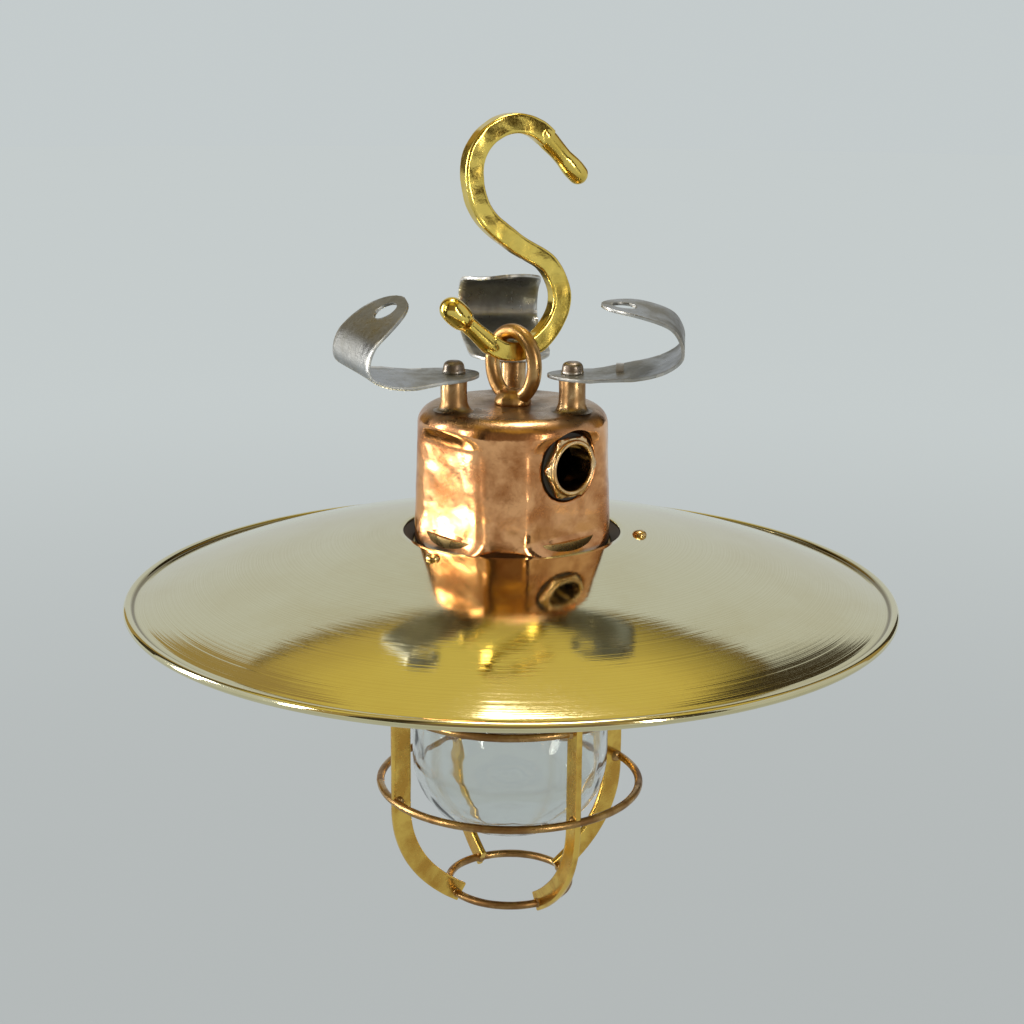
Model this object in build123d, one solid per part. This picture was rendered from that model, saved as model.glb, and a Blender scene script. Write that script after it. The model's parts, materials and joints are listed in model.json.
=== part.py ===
from build123d import *
from math import acos, cos, degrees, radians, sin, sqrt
import os

os.makedirs("parts", exist_ok=True)

# A hanging deck lantern: an S-hook carries a cast housing with a wide spun shade, and a screwed-on
# guard holds the glass globe up against the housing's flange.
# Millimetres.  Heights are measured from the plane of the shade's rim, and save() lowers every piece
# so that the frame's origin is the centre of the hook's upper loop.  Azimuths are degrees from -Y,
# positive towards +X.

# Frame
origin_height = 206.8

# S-hook, bent from square bar
hook_azimuth = 25.0
bar_width = 9.6
bar_thickness = 8.5
bar_edge = 1.2
upper_loop_radius = 22.2
lower_loop_radius = 21.8
loop_spacing = 63.9
upper_arm_angle = 43.0
lower_arm_angle = 232.0
s_bend_start = 185.0
s_bend_end = -50.0
s_bend_points = [(-17.0, -19.0), (0.0, -33.8), (17.8, -45.2), (24.2, -63.0)]
arm_diameter = 8.8
upper_knob = (31.0, 0.0)
lower_knob = (-30.0, -66.0)
upper_knob_diameter = 10.6
lower_knob_diameter = 12.8
knob_length = 7.0
knob_taper = 4.5
arm_root = 1.0

# Suspension eye, threaded through the housing's roof
eye_azimuth = -42.0
eye_wire = 7.3
eye_loop_radius = 13.7
eye_centre_height = 117.1
eye_drop = 17.6
eye_collar_radius = 9.2
eye_collar_height = 5.0
eye_shank_radius = 4.0
eye_nut_width = 13.0
eye_nut_height = 6.5
eye_washer_radius = 9.0
eye_washer_height = 1.6
eye_shank_end = 2.0

# Housing, a thick copper casting with four soft flats
housing_radius = 48.0
housing_top_radius = 46.0
housing_top = 95.0
housing_bottom = 27.0
housing_shoulder = 9.0
flat_distance = 40.5
flat_bottom = 47.0
flat_top = 80.0
flat_ramp = 8.0
cavity_radius = 36.5
cavity_top = 90.5
skirt_bore_radius = 44.2
skirt_bore_top = 37.5

# Cable gland in one flat
gland_azimuth = 41.0
gland_height = 71.0
gland_bore_radius = 11.0
gland_barrel_radius = 12.6
gland_head_width = 27.4
gland_head_height = 4.5
gland_recess_radius = 16.6
gland_washer_thickness = 2.0
gland_locknut_width = 30.0
gland_locknut_height = 4.0
gland_seat_margin = 1.4
gland_head_round = 1.0
gland_head_chamfer = 0.8
gland_barrel_end = 2.0

# Posts, rivets and the three strap feet
post_circle = 32.6
post_radius = 6.5
post_height = 16.5
rivet_shank_radius = 3.0
rivet_head_radius = 5.5
rivet_head_height = 6.0
rivet_depth = 9.0
rivet_play = 0.08
strap_thickness = 1.5
strap_hole_radius = 6.0
strap_hole_inset = 11.0
strap_inner_reach = 30.0
strap_outer_reach = 24.0

# Shade, spun from sheet with its edge rolled over a wire
shade_radius = 190.0
shade_height = 32.3
shade_hole_radius = 53.5
shade_sheet = 1.2
dome_edge_radius = 184.8
bead_radius = 2.3
rim_wire_radius = 1.1

# Gasket under the shade
gasket_bore_radius = 49.0
gasket_radius = 68.0
gasket_lip = 2.0

# Base flange, with the thread that takes the guard
flange_radius = 70.0
flange_top = 26.0
flange_bottom = 22.0
flange_bore_radius = 38.0
spigot_top = 35.0
thread_skirt_bore = 57.4
thread_skirt_radius = 61.0
thread_skirt_bottom = 3.0
screw_circle = 63.0
screw_azimuths = (85.0, -35.0, -155.0)
screw_head_radius = 3.6
screw_head_height = 2.6
screw_shank_radius = 1.9

# Glass globe
glass_radius = 49.6
glass_wall = 3.2
glass_lip_radius = 56.0
glass_lip_top = 20.0
glass_lip_thickness = 4.0
glass_bottom = -123.5
glass_corner = 38.0
seal_thickness = 2.0

# Guard
collar_radius = 57.1
collar_bore_radius = 52.6
collar_bottom = -18.0
guard_bar_azimuths = (-60.0, 30.0, 120.0, -150.0)
guard_bar_depth = 10.0
guard_bar_thickness = 3.0
guard_bar_outer = 67.1
guard_bar_top = -1.0
guard_bend_start = -104.0
guard_waist = -132.0
guard_waist_inset = 8.0
guard_toe_height = 8.0
guard_foot_radius = 27.0
guard_bottom = -163.0
guard_wire_radius = 2.0
guard_rings = {"top": (60.0, -55.0), "middle": (65.9, -99.5), "bottom": (31.1, -156.0)}

# Lampholder on its bridge
bridge_length = 84.0
bridge_width = 22.0
bridge_thickness = 1.6
bridge_screw_circle = 40.6
bridge_screw_radius = 1.6
bridge_screw_depth = 6.0
bridge_screw_head_radius = 2.6
bridge_screw_head_height = 0.8
window_margin = 1.2
holder_radius = 19.5
holder_bottom = 4.0
holder_bore_radius = 14.6
holder_bore_top = 28.0
holder_edge = 2.0
lamp_thread_radius = 13.2
lamp_shell_wall = 0.8
lamp_shell_length = 21.0
lamp_shell_gap = 1.5
lamp_shell_seat = 2.0
contact_radius = 3.5
contact_height = 2.5
contact_leaf_length = 20.0
contact_leaf_width = 6.0
contact_leaf_thickness = 1.0
terminal_spacing = 14.0
terminal_radius = 2.4
terminal_height = 5.0
terminal_depth = 4.0
terminal_head_radius = 3.4
terminal_head_height = 2.0
terminal_slot_width = 0.8
terminal_slot_depth = 0.8
earth_screw_azimuth = -139.0
earth_screw_height = 60.0
earth_screw_radius = 2.5
earth_screw_head_radius = 4.5
earth_screw_head_height = 2.5
earth_screw_sink = 0.6
earth_screw_wall = 1.5

# Shared small clearances
face_clearance = 0.1
pin_clearance = 0.05


def direction(azimuth):
    """Unit vector in plan at an azimuth."""
    return Vector(sin(radians(azimuth)), -cos(radians(azimuth)), 0)


def ring(inner, outer, bottom, top):
    """A plain ring about the lantern's axis."""
    height = top - bottom
    middle = (bottom + top) / 2
    return Pos(0, 0, middle) * (Cylinder(outer, height) - Cylinder(inner, height))


def disc(radius, bottom, top):
    """A plain disc about the lantern's axis."""
    return Pos(0, 0, (bottom + top) / 2) * Cylinder(radius, top - bottom)


def radial_plane(azimuth, distance, height):
    """A plane facing outwards at an azimuth, its local y upwards."""
    out = direction(azimuth)
    origin = out * distance + Vector(0, 0, height)
    return Plane(origin=origin, x_dir=direction(azimuth + 90), z_dir=out)


def save(node, shape):
    """Write one piece in the lantern's frame."""
    moved = Pos(0, 0, -origin_height) * shape
    moved.label = node
    export_step(moved, f"parts/{node}.step")


def shade_surface(radius):
    """Height of the dome's outer face at a radius: a shallow spherical cap."""
    rise = shade_height
    run = dome_edge_radius
    hole = shade_hole_radius
    centre = (run**2 - hole**2 - rise**2) / (2 * rise)
    sphere = sqrt(run**2 + centre**2)
    return sqrt(sphere**2 - radius**2) - centre


# --- S-hook -----------------------------------------------------------------

def hook_bar():
    """The bar along both loops and the S bend between them, in the XZ plane."""
    upper_turn = s_bend_start - upper_arm_angle
    upper = Plane.XZ * CenterArc((0, 0), upper_loop_radius, upper_arm_angle, upper_turn)
    lower_turn = lower_arm_angle - 360 - s_bend_end
    lower = Plane.XZ * CenterArc((0, -loop_spacing), lower_loop_radius, s_bend_end, lower_turn)
    points = [Vector(along, 0, up) for along, up in s_bend_points]
    spine = Spline(upper @ 1, *points, lower @ 0, tangents=[upper % 1, lower % 0])
    path = Wire([upper.edge(), spine.edge(), lower.edge()])
    start = Plane(origin=path @ 0, x_dir=(0, 1, 0), z_dir=path % 0)
    section = start * RectangleRounded(bar_thickness, bar_width, bar_edge)
    return sweep(section, path=path), path


def hook_arm(start, knob, knob_diameter):
    """A round arm that ends in a forged knob, turned about its own line."""
    begin = Vector(start)
    reach = Vector(knob[0], 0, knob[1]) - begin
    arm = arm_diameter / 2
    round_end = knob_diameter / 2
    neck = reach.length - knob_length / 2
    shoulder = reach.length + knob_length / 2
    chord = round_end * sin(radians(45))
    outline = [
        Line((0, -arm_root), (arm, -arm_root)),
        Line((arm, -arm_root), (arm, neck - knob_taper)),
        Line((arm, neck - knob_taper), (round_end, neck)),
        Line((round_end, neck), (round_end, shoulder)),
        ThreePointArc((round_end, shoulder), (chord, shoulder + chord), (0, shoulder + round_end)),
        Line((0, shoulder + round_end), (0, -arm_root)),
    ]
    turned = revolve(Plane.XZ * make_face(outline), axis=Axis.Z)
    return Plane(origin=begin, z_dir=reach) * turned


def s_hook():
    bar, path = hook_bar()
    hook = bar + hook_arm(path @ 0, upper_knob, upper_knob_diameter)
    hook = hook + hook_arm(path @ 1, lower_knob, lower_knob_diameter)
    return Pos(0, 0, origin_height) * Rot(0, 0, hook_azimuth) * hook


# --- Suspension eye ---------------------------------------------------------

def eye_bolt():
    """A teardrop eye on a collar, with a threaded shank down through the roof."""
    spread = degrees(acos(eye_loop_radius / eye_drop))
    arc = Plane.XZ * CenterArc((0, 0), eye_loop_radius, spread - 90, 360 - 2 * spread)
    start = Plane(origin=arc @ 0, z_dir=arc % 0)
    loop = sweep(start * Circle(eye_wire / 2), path=arc)
    foot = Vector(0, 0, -eye_drop)
    for end in (arc @ 0, arc @ 1):
        leg = Plane(origin=foot, z_dir=end - foot)
        loop = loop + extrude(leg * Circle(eye_wire / 2), amount=(end - foot).length)
    loop = loop + Pos(*foot) * Sphere(eye_wire / 2)
    loop = Pos(0, 0, eye_centre_height) * Rot(0, 0, eye_azimuth) * loop
    loop = loop - disc(housing_radius, housing_top - 20, housing_top)
    collar = disc(eye_collar_radius, housing_top, housing_top + eye_collar_height)
    collar = chamfer(collar.edges().group_by(Axis.Z)[-1], eye_collar_height / 3)
    shank_bottom = cavity_top - eye_washer_height - eye_nut_height - eye_shank_end
    shank = disc(eye_shank_radius, shank_bottom, housing_top + 1)
    return loop + collar + shank


def eye_washer():
    hole = eye_shank_radius + pin_clearance
    return ring(hole, eye_washer_radius, cavity_top - eye_washer_height, cavity_top)


def eye_nut():
    top = cavity_top - eye_washer_height
    hexagon = RegularPolygon(eye_nut_width / 2, 6, major_radius=False)
    nut = extrude(Pos(0, 0, top - eye_nut_height) * hexagon, amount=eye_nut_height)
    return nut - disc(eye_shank_radius + pin_clearance, top - 2 * eye_nut_height, top + 1)


# --- Housing and gland ------------------------------------------------------

def flat_cutter():
    """Removes one soft-ended flat from the housing's side."""
    near = flat_distance
    far = housing_radius + 12
    ramp = flat_ramp
    points = [
        (near, flat_bottom),
        (near, flat_top),
        (near + ramp, flat_top + ramp),
        (far, flat_top + ramp),
        (far, flat_bottom - ramp),
        (near + ramp, flat_bottom - ramp),
    ]
    outline = make_face(Polyline(*points, close=True))
    ends = outline.vertices().sort_by(Axis.X)[:2]
    outline = fillet(ends, radius=ramp)
    return extrude(Plane.XZ * outline, amount=housing_radius, both=True)


def housing_shell():
    """The round casting with its shoulder, before the flats are cut."""
    points = [
        (0, housing_bottom),
        (housing_radius, housing_bottom),
        (housing_radius, flat_bottom - flat_ramp),
        (housing_top_radius, housing_top),
        (0, housing_top),
    ]
    outline = make_face(Polyline(*points, close=True))
    corner = outline.vertices().sort_by(Axis.X)[2]
    outline = fillet(corner, radius=housing_shoulder)
    return revolve(Plane.XZ * outline, axis=Axis.Z)


def gland_cylinder(radius, start, end):
    """A round bar along the gland's axis, from one distance out to another."""
    return extrude(radial_plane(gland_azimuth, start, gland_height) * Circle(radius), amount=end - start)


def gland_hexagon(width, start, end):
    """A hexagonal bar along the gland's axis."""
    shape = RegularPolygon(width / 2, 6, major_radius=False, rotation=30)
    return extrude(radial_plane(gland_azimuth, start, gland_height) * shape, amount=end - start)


def housing():
    body = housing_shell()
    for quarter in range(4):
        body = body - Rot(0, 0, gland_azimuth - 90 + 90 * quarter) * flat_cutter()
    body = body - disc(cavity_radius, housing_bottom - 1, cavity_top)
    body = body - disc(skirt_bore_radius, housing_bottom - 1, skirt_bore_top)
    body = body - disc(eye_shank_radius + pin_clearance, cavity_top - 1, housing_top + 1)
    seat = flat_distance - gland_washer_thickness
    body = body - gland_cylinder(gland_recess_radius, seat, housing_radius)
    body = body - gland_cylinder(gland_barrel_radius + pin_clearance, 0, housing_radius)
    body = body - gland_cylinder(gland_recess_radius + gland_seat_margin, 0, cavity_radius)
    return body - earth_hole()


def gland_body():
    """Hex-headed hollow screw that the cable passes through."""
    inner_end = cavity_radius - gland_locknut_height - gland_barrel_end
    barrel = gland_cylinder(gland_barrel_radius, inner_end, flat_distance)
    head = gland_hexagon(gland_head_width, flat_distance, flat_distance + gland_head_height)
    round_radius = gland_head_width / 2 + gland_head_round
    rounded = gland_cylinder(round_radius, flat_distance, flat_distance + gland_head_height)
    rounded = chamfer(rounded.edges(), gland_head_chamfer)
    return barrel + (head & rounded) - gland_cylinder(gland_bore_radius, 0, housing_radius + 10)


def gland_washer():
    seat = flat_distance - gland_washer_thickness
    body = gland_cylinder(gland_recess_radius - 0.4, seat, flat_distance)
    return body - gland_cylinder(gland_barrel_radius + pin_clearance, 0, housing_radius)


def gland_locknut():
    start = cavity_radius - gland_locknut_height
    nut = gland_hexagon(gland_locknut_width, start, cavity_radius)
    return nut - gland_cylinder(gland_barrel_radius + pin_clearance, 0, housing_radius)


# --- Posts, rivets and strap feet -------------------------------------------

post_azimuths = {"left": -60.0, "right": 60.0, "back": 180.0}
post_top = housing_top + post_height

# Each strap's line seen from the side: distance out from its rivet and height above the post.
straps = {
    "left": {
        "azimuth": -61.0,
        "width": 39.0,
        "bend": 9.0,
        "line": [(-12, 0.75), (9, 0.75), (50, 1.5), (55, 17), (41, 29.5), (26, 39)],
    },
    "right": {
        "azimuth": 85.0,
        "width": 34.0,
        "bend": 7.0,
        "line": [(-12, 0.75), (9, 0.75), (52, 6.5), (54, 24), (38, 32.5), (13, 35)],
    },
    "back": {
        "azimuth": -171.0,
        "width": 42.0,
        "bend": 8.0,
        "line": [(-12, 0.75), (9, 0.75), (50, 8), (55, 22), (44, 35), (22, 39)],
    },
}
stub_along = 0.35
stub_size = 3.6
stub_height = 4.5


def at_rivet(name, shape):
    """Turn a strap's piece to its azimuth and put it on its post."""
    strap = straps[name]
    place = direction(post_azimuths[name]) * post_circle + Vector(0, 0, post_top)
    return Pos(*place) * Rot(0, 0, strap["azimuth"] - 90) * shape


def strap_line(strap):
    points = [(out, 0, up) for out, up in strap["line"]]
    return FilletPolyline(*points, radius=strap["bend"])


def rounded_end(width, tip, reach, low, high):
    """Trims a strap to a long rounded end: everything outside half an ellipse."""
    half = width / 2
    block = Pos(tip + reach / 2, 0, 0) * Rectangle(reach + 20, width + 20)
    rest = 3 * reach
    keep = Pos(tip + reach, 0, 0) * Ellipse(reach, half)
    keep = keep + Pos(tip + reach + rest / 2, 0, 0) * Rectangle(rest, width)
    waste = block - keep
    return extrude(Pos(0, 0, low) * waste, amount=high - low)


def strap_stub():
    """A sheared-off square rivet left standing in the right strap."""
    rising_run = strap_line(straps["right"]).edges()[2]
    foot_point = rising_run @ stub_along
    height = stub_height + strap_thickness
    middle = foot_point.Z - strap_thickness + height / 2
    return at_rivet("right", Pos(foot_point.X, 0, middle) * Box(stub_size, stub_size, height))


def foot(name):
    """One bent strap, turning on its rivet, with its fixing hole in the free end."""
    strap = straps[name]
    line = strap_line(strap)
    start = Plane(origin=line @ 0, x_dir=(0, 1, 0), z_dir=line % 0)
    body = sweep(start * Rectangle(strap["width"], strap_thickness), path=line)
    inner_tip = strap["line"][0][0]
    outer_tip = strap["line"][-1][0]
    outer_bend = strap["line"][-3][1]
    lower_limit = outer_bend - 6
    body = body - rounded_end(strap["width"], inner_tip, strap_inner_reach, -5, lower_limit)
    body = body - rounded_end(strap["width"], outer_tip, strap_outer_reach, outer_bend - 2, 60)
    body = body - Cylinder(rivet_shank_radius + rivet_play, 4 * strap_thickness)
    outward = (line % 1) * -1
    centre = (line @ 1) + outward * strap_hole_inset
    bore = Plane(origin=centre, x_dir=outward, z_dir=outward.cross(Vector(0, 1, 0)))
    body = body - extrude(bore * Circle(strap_hole_radius), amount=4 * strap_thickness, both=True)
    body = at_rivet(name, body)
    if name == "right":
        body = body - strap_stub()
    return body


def post(name):
    place = direction(post_azimuths[name]) * post_circle
    hole = disc(rivet_shank_radius, post_top - rivet_depth, post_top)
    return Pos(*place) * (disc(post_radius, housing_top, post_top) - hole)


def rivet(name):
    """Domed rivet: its shank sits in the post, and the strap turns on it."""
    place = direction(post_azimuths[name]) * post_circle
    under_head = post_top + strap_thickness + face_clearance
    shank = disc(rivet_shank_radius, post_top - rivet_depth, under_head)
    head = disc(rivet_head_radius, under_head, under_head + rivet_head_height)
    head = fillet(head.edges().group_by(Axis.Z)[-1], radius=rivet_head_radius * 0.7)
    return Pos(*place) * (shank + head)


# --- Shade ------------------------------------------------------------------

def dome_arc(offset):
    """The dome's section from the hole to its edge, moved by an offset along the height."""
    middle = (shade_hole_radius + dome_edge_radius) / 2
    radii = (shade_hole_radius, middle, dome_edge_radius)
    return ThreePointArc(*[(radius, shade_surface(radius) + offset) for radius in radii])


def bead_centre():
    return shade_radius - bead_radius


def shade():
    """Dome, flat lip and rolled bead in one spun sheet."""
    outer = dome_arc(0)
    inner = dome_arc(-shade_sheet)
    lip_end = bead_centre()
    outline = [
        outer,
        Line(outer @ 1, (lip_end, 0)),
        Line((lip_end, 0), (lip_end, -shade_sheet)),
        Line((lip_end, -shade_sheet), inner @ 1),
        inner,
        Line(inner @ 0, outer @ 0),
    ]
    sheet = revolve(Plane.XZ * make_face(outline), axis=Axis.Z)
    bead = Pos(0, 0, -shade_sheet / 2) * Torus(bead_centre(), bead_radius)
    body = sheet + bead - rim_wire()
    for azimuth in screw_azimuths:
        place = direction(azimuth) * screw_circle
        body = body - Pos(*place) * disc(screw_shank_radius + pin_clearance, flange_top, shade_height + 5)
    return body


def rim_wire():
    return Pos(0, 0, -shade_sheet / 2) * Torus(bead_centre(), rim_wire_radius)


def screw_seat():
    """Height on the dome where the screw heads bear, at their inner edge."""
    return shade_surface(screw_circle - screw_head_radius)


def shade_screws():
    screws = []
    for azimuth in screw_azimuths:
        head = disc(screw_head_radius, screw_seat(), screw_seat() + screw_head_height)
        head = fillet(head.edges().group_by(Axis.Z)[-1], radius=screw_head_height * 0.8)
        shank = disc(screw_shank_radius, flange_bottom, screw_seat())
        screws.append(Pos(*(direction(azimuth) * screw_circle)) * (head + shank))
    return Compound(screws)


def shade_gasket():
    """Soft ring between the flange and the dome's inner face."""
    inner = gasket_bore_radius
    outer = gasket_radius
    under = shade_sheet + face_clearance
    points = [
        (inner, flange_top),
        (outer, flange_top),
        (outer, shade_surface(outer) - under),
        (shade_hole_radius, shade_surface(shade_hole_radius) - under),
        (inner, flange_top + gasket_lip),
    ]
    body = revolve(Plane.XZ * make_face(Polyline(*points, close=True)), axis=Axis.Z)
    for azimuth in screw_azimuths:
        place = direction(azimuth) * screw_circle
        body = body - Pos(*place) * disc(screw_shank_radius + pin_clearance, flange_top - 1, shade_height)
    return body


# --- Base flange and lampholder ---------------------------------------------

def bridge_points():
    """Plan positions of the two screws that hold the bridge."""
    return [Pos(bridge_screw_circle, 0, 0), Pos(-bridge_screw_circle, 0, 0)]


def base_flange():
    """Spigot soldered into the housing, plate for the shade, and threaded skirt for the guard."""
    plate = ring(flange_bore_radius, flange_radius, flange_bottom, flange_top)
    spigot = ring(flange_bore_radius, skirt_bore_radius, flange_top, spigot_top)
    skirt = ring(thread_skirt_bore, thread_skirt_radius, thread_skirt_bottom, flange_bottom)
    seat = ring(skirt_bore_radius, housing_radius, flange_top, housing_bottom)
    body = plate + spigot + skirt + seat
    for azimuth in screw_azimuths:
        place = direction(azimuth) * screw_circle
        body = body - Pos(*place) * disc(screw_shank_radius, flange_bottom - 1, flange_top + 1)
    for place in bridge_points():
        body = body - place * disc(bridge_screw_radius, spigot_top - bridge_screw_depth - 1, spigot_top)
    return body


def holder_bridge():
    """Flat steel strip across the spigot, with a window for the terminals."""
    bottom = spigot_top
    blank = Box(bridge_length, bridge_width, bridge_thickness)
    body = Pos(0, 0, bottom + bridge_thickness / 2) * blank
    body = body & disc(bridge_length / 2, bottom, bottom + bridge_thickness)
    for side in (-1, 1):
        window = Cylinder(terminal_radius + window_margin, 10)
        body = body - Pos(side * terminal_spacing / 2, 0, bottom) * window
    for place in bridge_points():
        body = body - place * disc(bridge_screw_radius + pin_clearance, bottom - 1, bottom + 5)
    return body


def holder_screws():
    screws = []
    seat = spigot_top + bridge_thickness
    for place in bridge_points():
        screw = disc(bridge_screw_radius, spigot_top - bridge_screw_depth, seat)
        head = disc(bridge_screw_head_radius, seat, seat + bridge_screw_head_height)
        screws.append(place * (screw + head))
    return Compound(screws)


def lampholder_body():
    """Glazed porcelain body that hangs under the bridge."""
    body = disc(holder_radius, holder_bottom, spigot_top)
    body = fillet(body.edges().group_by(Axis.Z)[0], radius=holder_edge)
    body = body - disc(holder_bore_radius, holder_bottom - 1, holder_bore_top)
    for side in (-1, 1):
        well = disc(terminal_radius, spigot_top - terminal_depth, spigot_top + 1)
        body = body - Pos(side * terminal_spacing / 2, 0, 0) * well
    return body


def lampholder_shell():
    """Threaded sleeve that takes the lamp's cap."""
    top = holder_bore_top - lamp_shell_gap
    outside = lamp_thread_radius + lamp_shell_wall
    sleeve = ring(lamp_thread_radius, outside, top - lamp_shell_length, top)
    seat = ring(lamp_thread_radius, holder_bore_radius, top - lamp_shell_seat, top)
    return sleeve + seat


def centre_contact():
    leaf_bottom = holder_bore_top - contact_leaf_thickness
    button = disc(contact_radius, leaf_bottom - contact_height, leaf_bottom)
    leaf = Box(contact_leaf_length, contact_leaf_width, contact_leaf_thickness)
    return button + Pos(0, 0, leaf_bottom + contact_leaf_thickness / 2) * leaf


def terminal_screws():
    screws = []
    top = spigot_top + terminal_height
    for side in (-1, 1):
        shank = disc(terminal_radius, spigot_top - terminal_depth, top)
        head = disc(terminal_head_radius, top - terminal_head_height, top)
        slot = Box(3 * terminal_head_radius, terminal_slot_width, 2 * terminal_slot_depth)
        screw = shank + head - Pos(0, 0, top) * slot
        screws.append(Pos(side * terminal_spacing / 2, 0, 0) * screw)
    return Compound(screws)


def earth_bar(radius, start, end):
    plane = radial_plane(earth_screw_azimuth, start, earth_screw_height)
    return extrude(plane * Circle(radius), amount=end - start)


def earth_hole():
    return earth_bar(earth_screw_radius, 0, flat_distance - earth_screw_wall)


def earth_screw():
    """Earthing screw, inside the housing on the wall behind the gland."""
    seat = cavity_radius - earth_screw_sink
    head = earth_bar(earth_screw_head_radius, seat - earth_screw_head_height, seat)
    return head + earth_bar(earth_screw_radius, seat - 1, flat_distance - earth_screw_wall)


# --- Glass and guard --------------------------------------------------------

def glass_outline(inset):
    """Half section of the globe's outside, moved inwards by an inset."""
    radius = glass_radius - inset
    bottom = glass_bottom + inset
    lip_bottom = glass_lip_top - glass_lip_thickness
    top = glass_lip_top + (1 if inset else 0)
    start = lip_bottom if not inset else top
    corner = glass_corner - inset
    side = Line((radius, start), (radius, bottom + corner))
    turn = RadiusArc((radius, bottom + corner), (radius - corner, bottom), corner)
    floor = Line((radius - corner, bottom), (0, bottom))
    axis = Line((0, bottom), (0, start))
    lid = Line((0, start), (radius, start))
    return make_face([side, turn, floor, axis, lid])


def glass_globe():
    """Straight-sided clear globe with a rounded bottom and a pressed lip."""
    outside = revolve(Plane.XZ * glass_outline(0), axis=Axis.Z)
    inside = revolve(Plane.XZ * glass_outline(glass_wall), axis=Axis.Z)
    lip = disc(glass_lip_radius, glass_lip_top - glass_lip_thickness, glass_lip_top)
    return outside + lip - inside


def glass_seal():
    """Rubber ring between the globe's lip and the base flange."""
    return ring(glass_radius - glass_wall, glass_lip_radius, glass_lip_top, glass_lip_top + seal_thickness)


def guard_collar():
    """Threaded ring that lifts the globe's lip against its seal."""
    return ring(collar_bore_radius, collar_radius, collar_bottom, glass_lip_top - glass_lip_thickness)


def guard_ring(name):
    radius, height = guard_rings[name]
    return Pos(0, 0, height) * Torus(radius, guard_wire_radius)


def guard_bar(azimuth):
    """One flat bar on edge: straight down from the collar, then in to the bottom ring."""
    depth = guard_bar_depth
    outer = guard_bar_outer
    foot = guard_foot_radius
    toe = guard_bottom + 2
    heel = toe + guard_toe_height
    waist = outer - guard_waist_inset
    outer_points = [(outer, guard_bend_start), (waist, guard_waist), (foot + 4, toe - 1)]
    inner_points = [
        (outer - depth, guard_bend_start),
        (waist - depth, guard_waist + 3),
        (foot + 1, heel + 1),
    ]
    line_out = Spline(*outer_points, tangents=[(0, -1), (-1, -0.25)])
    line_in = Spline(*inner_points, tangents=[(0, -1), (-1, -0.3)])
    outline = [
        Line((outer, guard_bar_top), line_out @ 0),
        line_out,
        Line(line_out @ 1, (foot, toe)),
        Line((foot, toe), (foot, heel)),
        Line((foot, heel), line_in @ 1),
        line_in,
        Line(line_in @ 0, (outer - depth, guard_bar_top)),
        Line((outer - depth, guard_bar_top), (outer, guard_bar_top)),
    ]
    body = extrude(Plane.XZ * make_face(outline), amount=guard_bar_thickness / 2, both=True)
    body = Rot(0, 0, azimuth - 90) * body
    for name in guard_rings:
        body = body - guard_ring(name)
    return body


save("s_hook", s_hook())
save("eye_bolt", eye_bolt())
save("eye_washer", eye_washer())
save("eye_nut", eye_nut())
save("housing", housing())
save("gland_body", gland_body())
save("gland_washer", gland_washer())
save("gland_locknut", gland_locknut())
for side_name in post_azimuths:
    save(f"post_{side_name}", post(side_name))
    save(f"rivet_{side_name}", rivet(side_name))
    save(f"foot_{side_name}", foot(side_name))
save("strap_stub", strap_stub())
save("shade", shade())
save("shade_rim_wire", rim_wire())
save("shade_screws", shade_screws())
save("shade_gasket", shade_gasket())
save("base_flange", base_flange())
save("holder_bridge", holder_bridge())
save("holder_screws", holder_screws())
save("lampholder_body", lampholder_body())
save("lampholder_shell", lampholder_shell())
save("centre_contact", centre_contact())
save("terminal_screws", terminal_screws())
save("earth_screw", earth_screw())
save("glass_seal", glass_seal())
save("glass_globe", glass_globe())
save("guard_collar", guard_collar())
for number, bar_azimuth in enumerate(guard_bar_azimuths, start=1):
    save(f"guard_bar_{number}", guard_bar(bar_azimuth))
for ring_name in guard_rings:
    save(f"guard_ring_{ring_name}", guard_ring(ring_name))
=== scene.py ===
# Hanging ship lantern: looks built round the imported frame. Metres, +Z up, origin in the hook's upper loop.
import json
import math

import bmesh
import bpy
from mathutils import Matrix, Vector, noise


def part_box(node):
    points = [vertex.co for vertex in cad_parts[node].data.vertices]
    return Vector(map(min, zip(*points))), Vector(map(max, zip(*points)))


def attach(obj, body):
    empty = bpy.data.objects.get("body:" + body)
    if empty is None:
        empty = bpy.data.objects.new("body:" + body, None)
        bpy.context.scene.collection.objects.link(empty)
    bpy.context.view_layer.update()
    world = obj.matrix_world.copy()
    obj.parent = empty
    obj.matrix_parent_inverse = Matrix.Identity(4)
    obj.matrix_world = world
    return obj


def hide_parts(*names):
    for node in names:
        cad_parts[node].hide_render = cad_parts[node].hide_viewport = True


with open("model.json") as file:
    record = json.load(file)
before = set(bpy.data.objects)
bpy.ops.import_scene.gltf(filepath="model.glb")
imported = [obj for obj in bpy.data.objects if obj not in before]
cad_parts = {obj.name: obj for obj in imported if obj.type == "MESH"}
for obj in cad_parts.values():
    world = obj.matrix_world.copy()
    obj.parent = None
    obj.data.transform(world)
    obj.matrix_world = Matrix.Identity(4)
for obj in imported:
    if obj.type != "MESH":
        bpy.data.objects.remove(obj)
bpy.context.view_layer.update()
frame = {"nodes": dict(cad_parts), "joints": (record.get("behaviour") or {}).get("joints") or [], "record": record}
joints = {joint["name"]: joint for joint in frame["joints"]}
mounts = {mount["name"]: mount for mount in frame["record"]["mounts"]}
mm = 0.001
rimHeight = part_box("shade")[0].z + 2.9 * mm   # the shade's rim, which all heights are counted from
bpy.context.scene.view_settings.view_transform = "Standard"


# azimuth in degrees, 0 facing -Y and 90 facing +X
def heading(azimuth):
    a = math.radians(azimuth)
    return Vector((math.sin(a), -math.cos(a), 0))


def above(height):
    return rimHeight + height * mm


def scaled(points):
    return [(r * mm, above(z)) for r, z in points]


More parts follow.
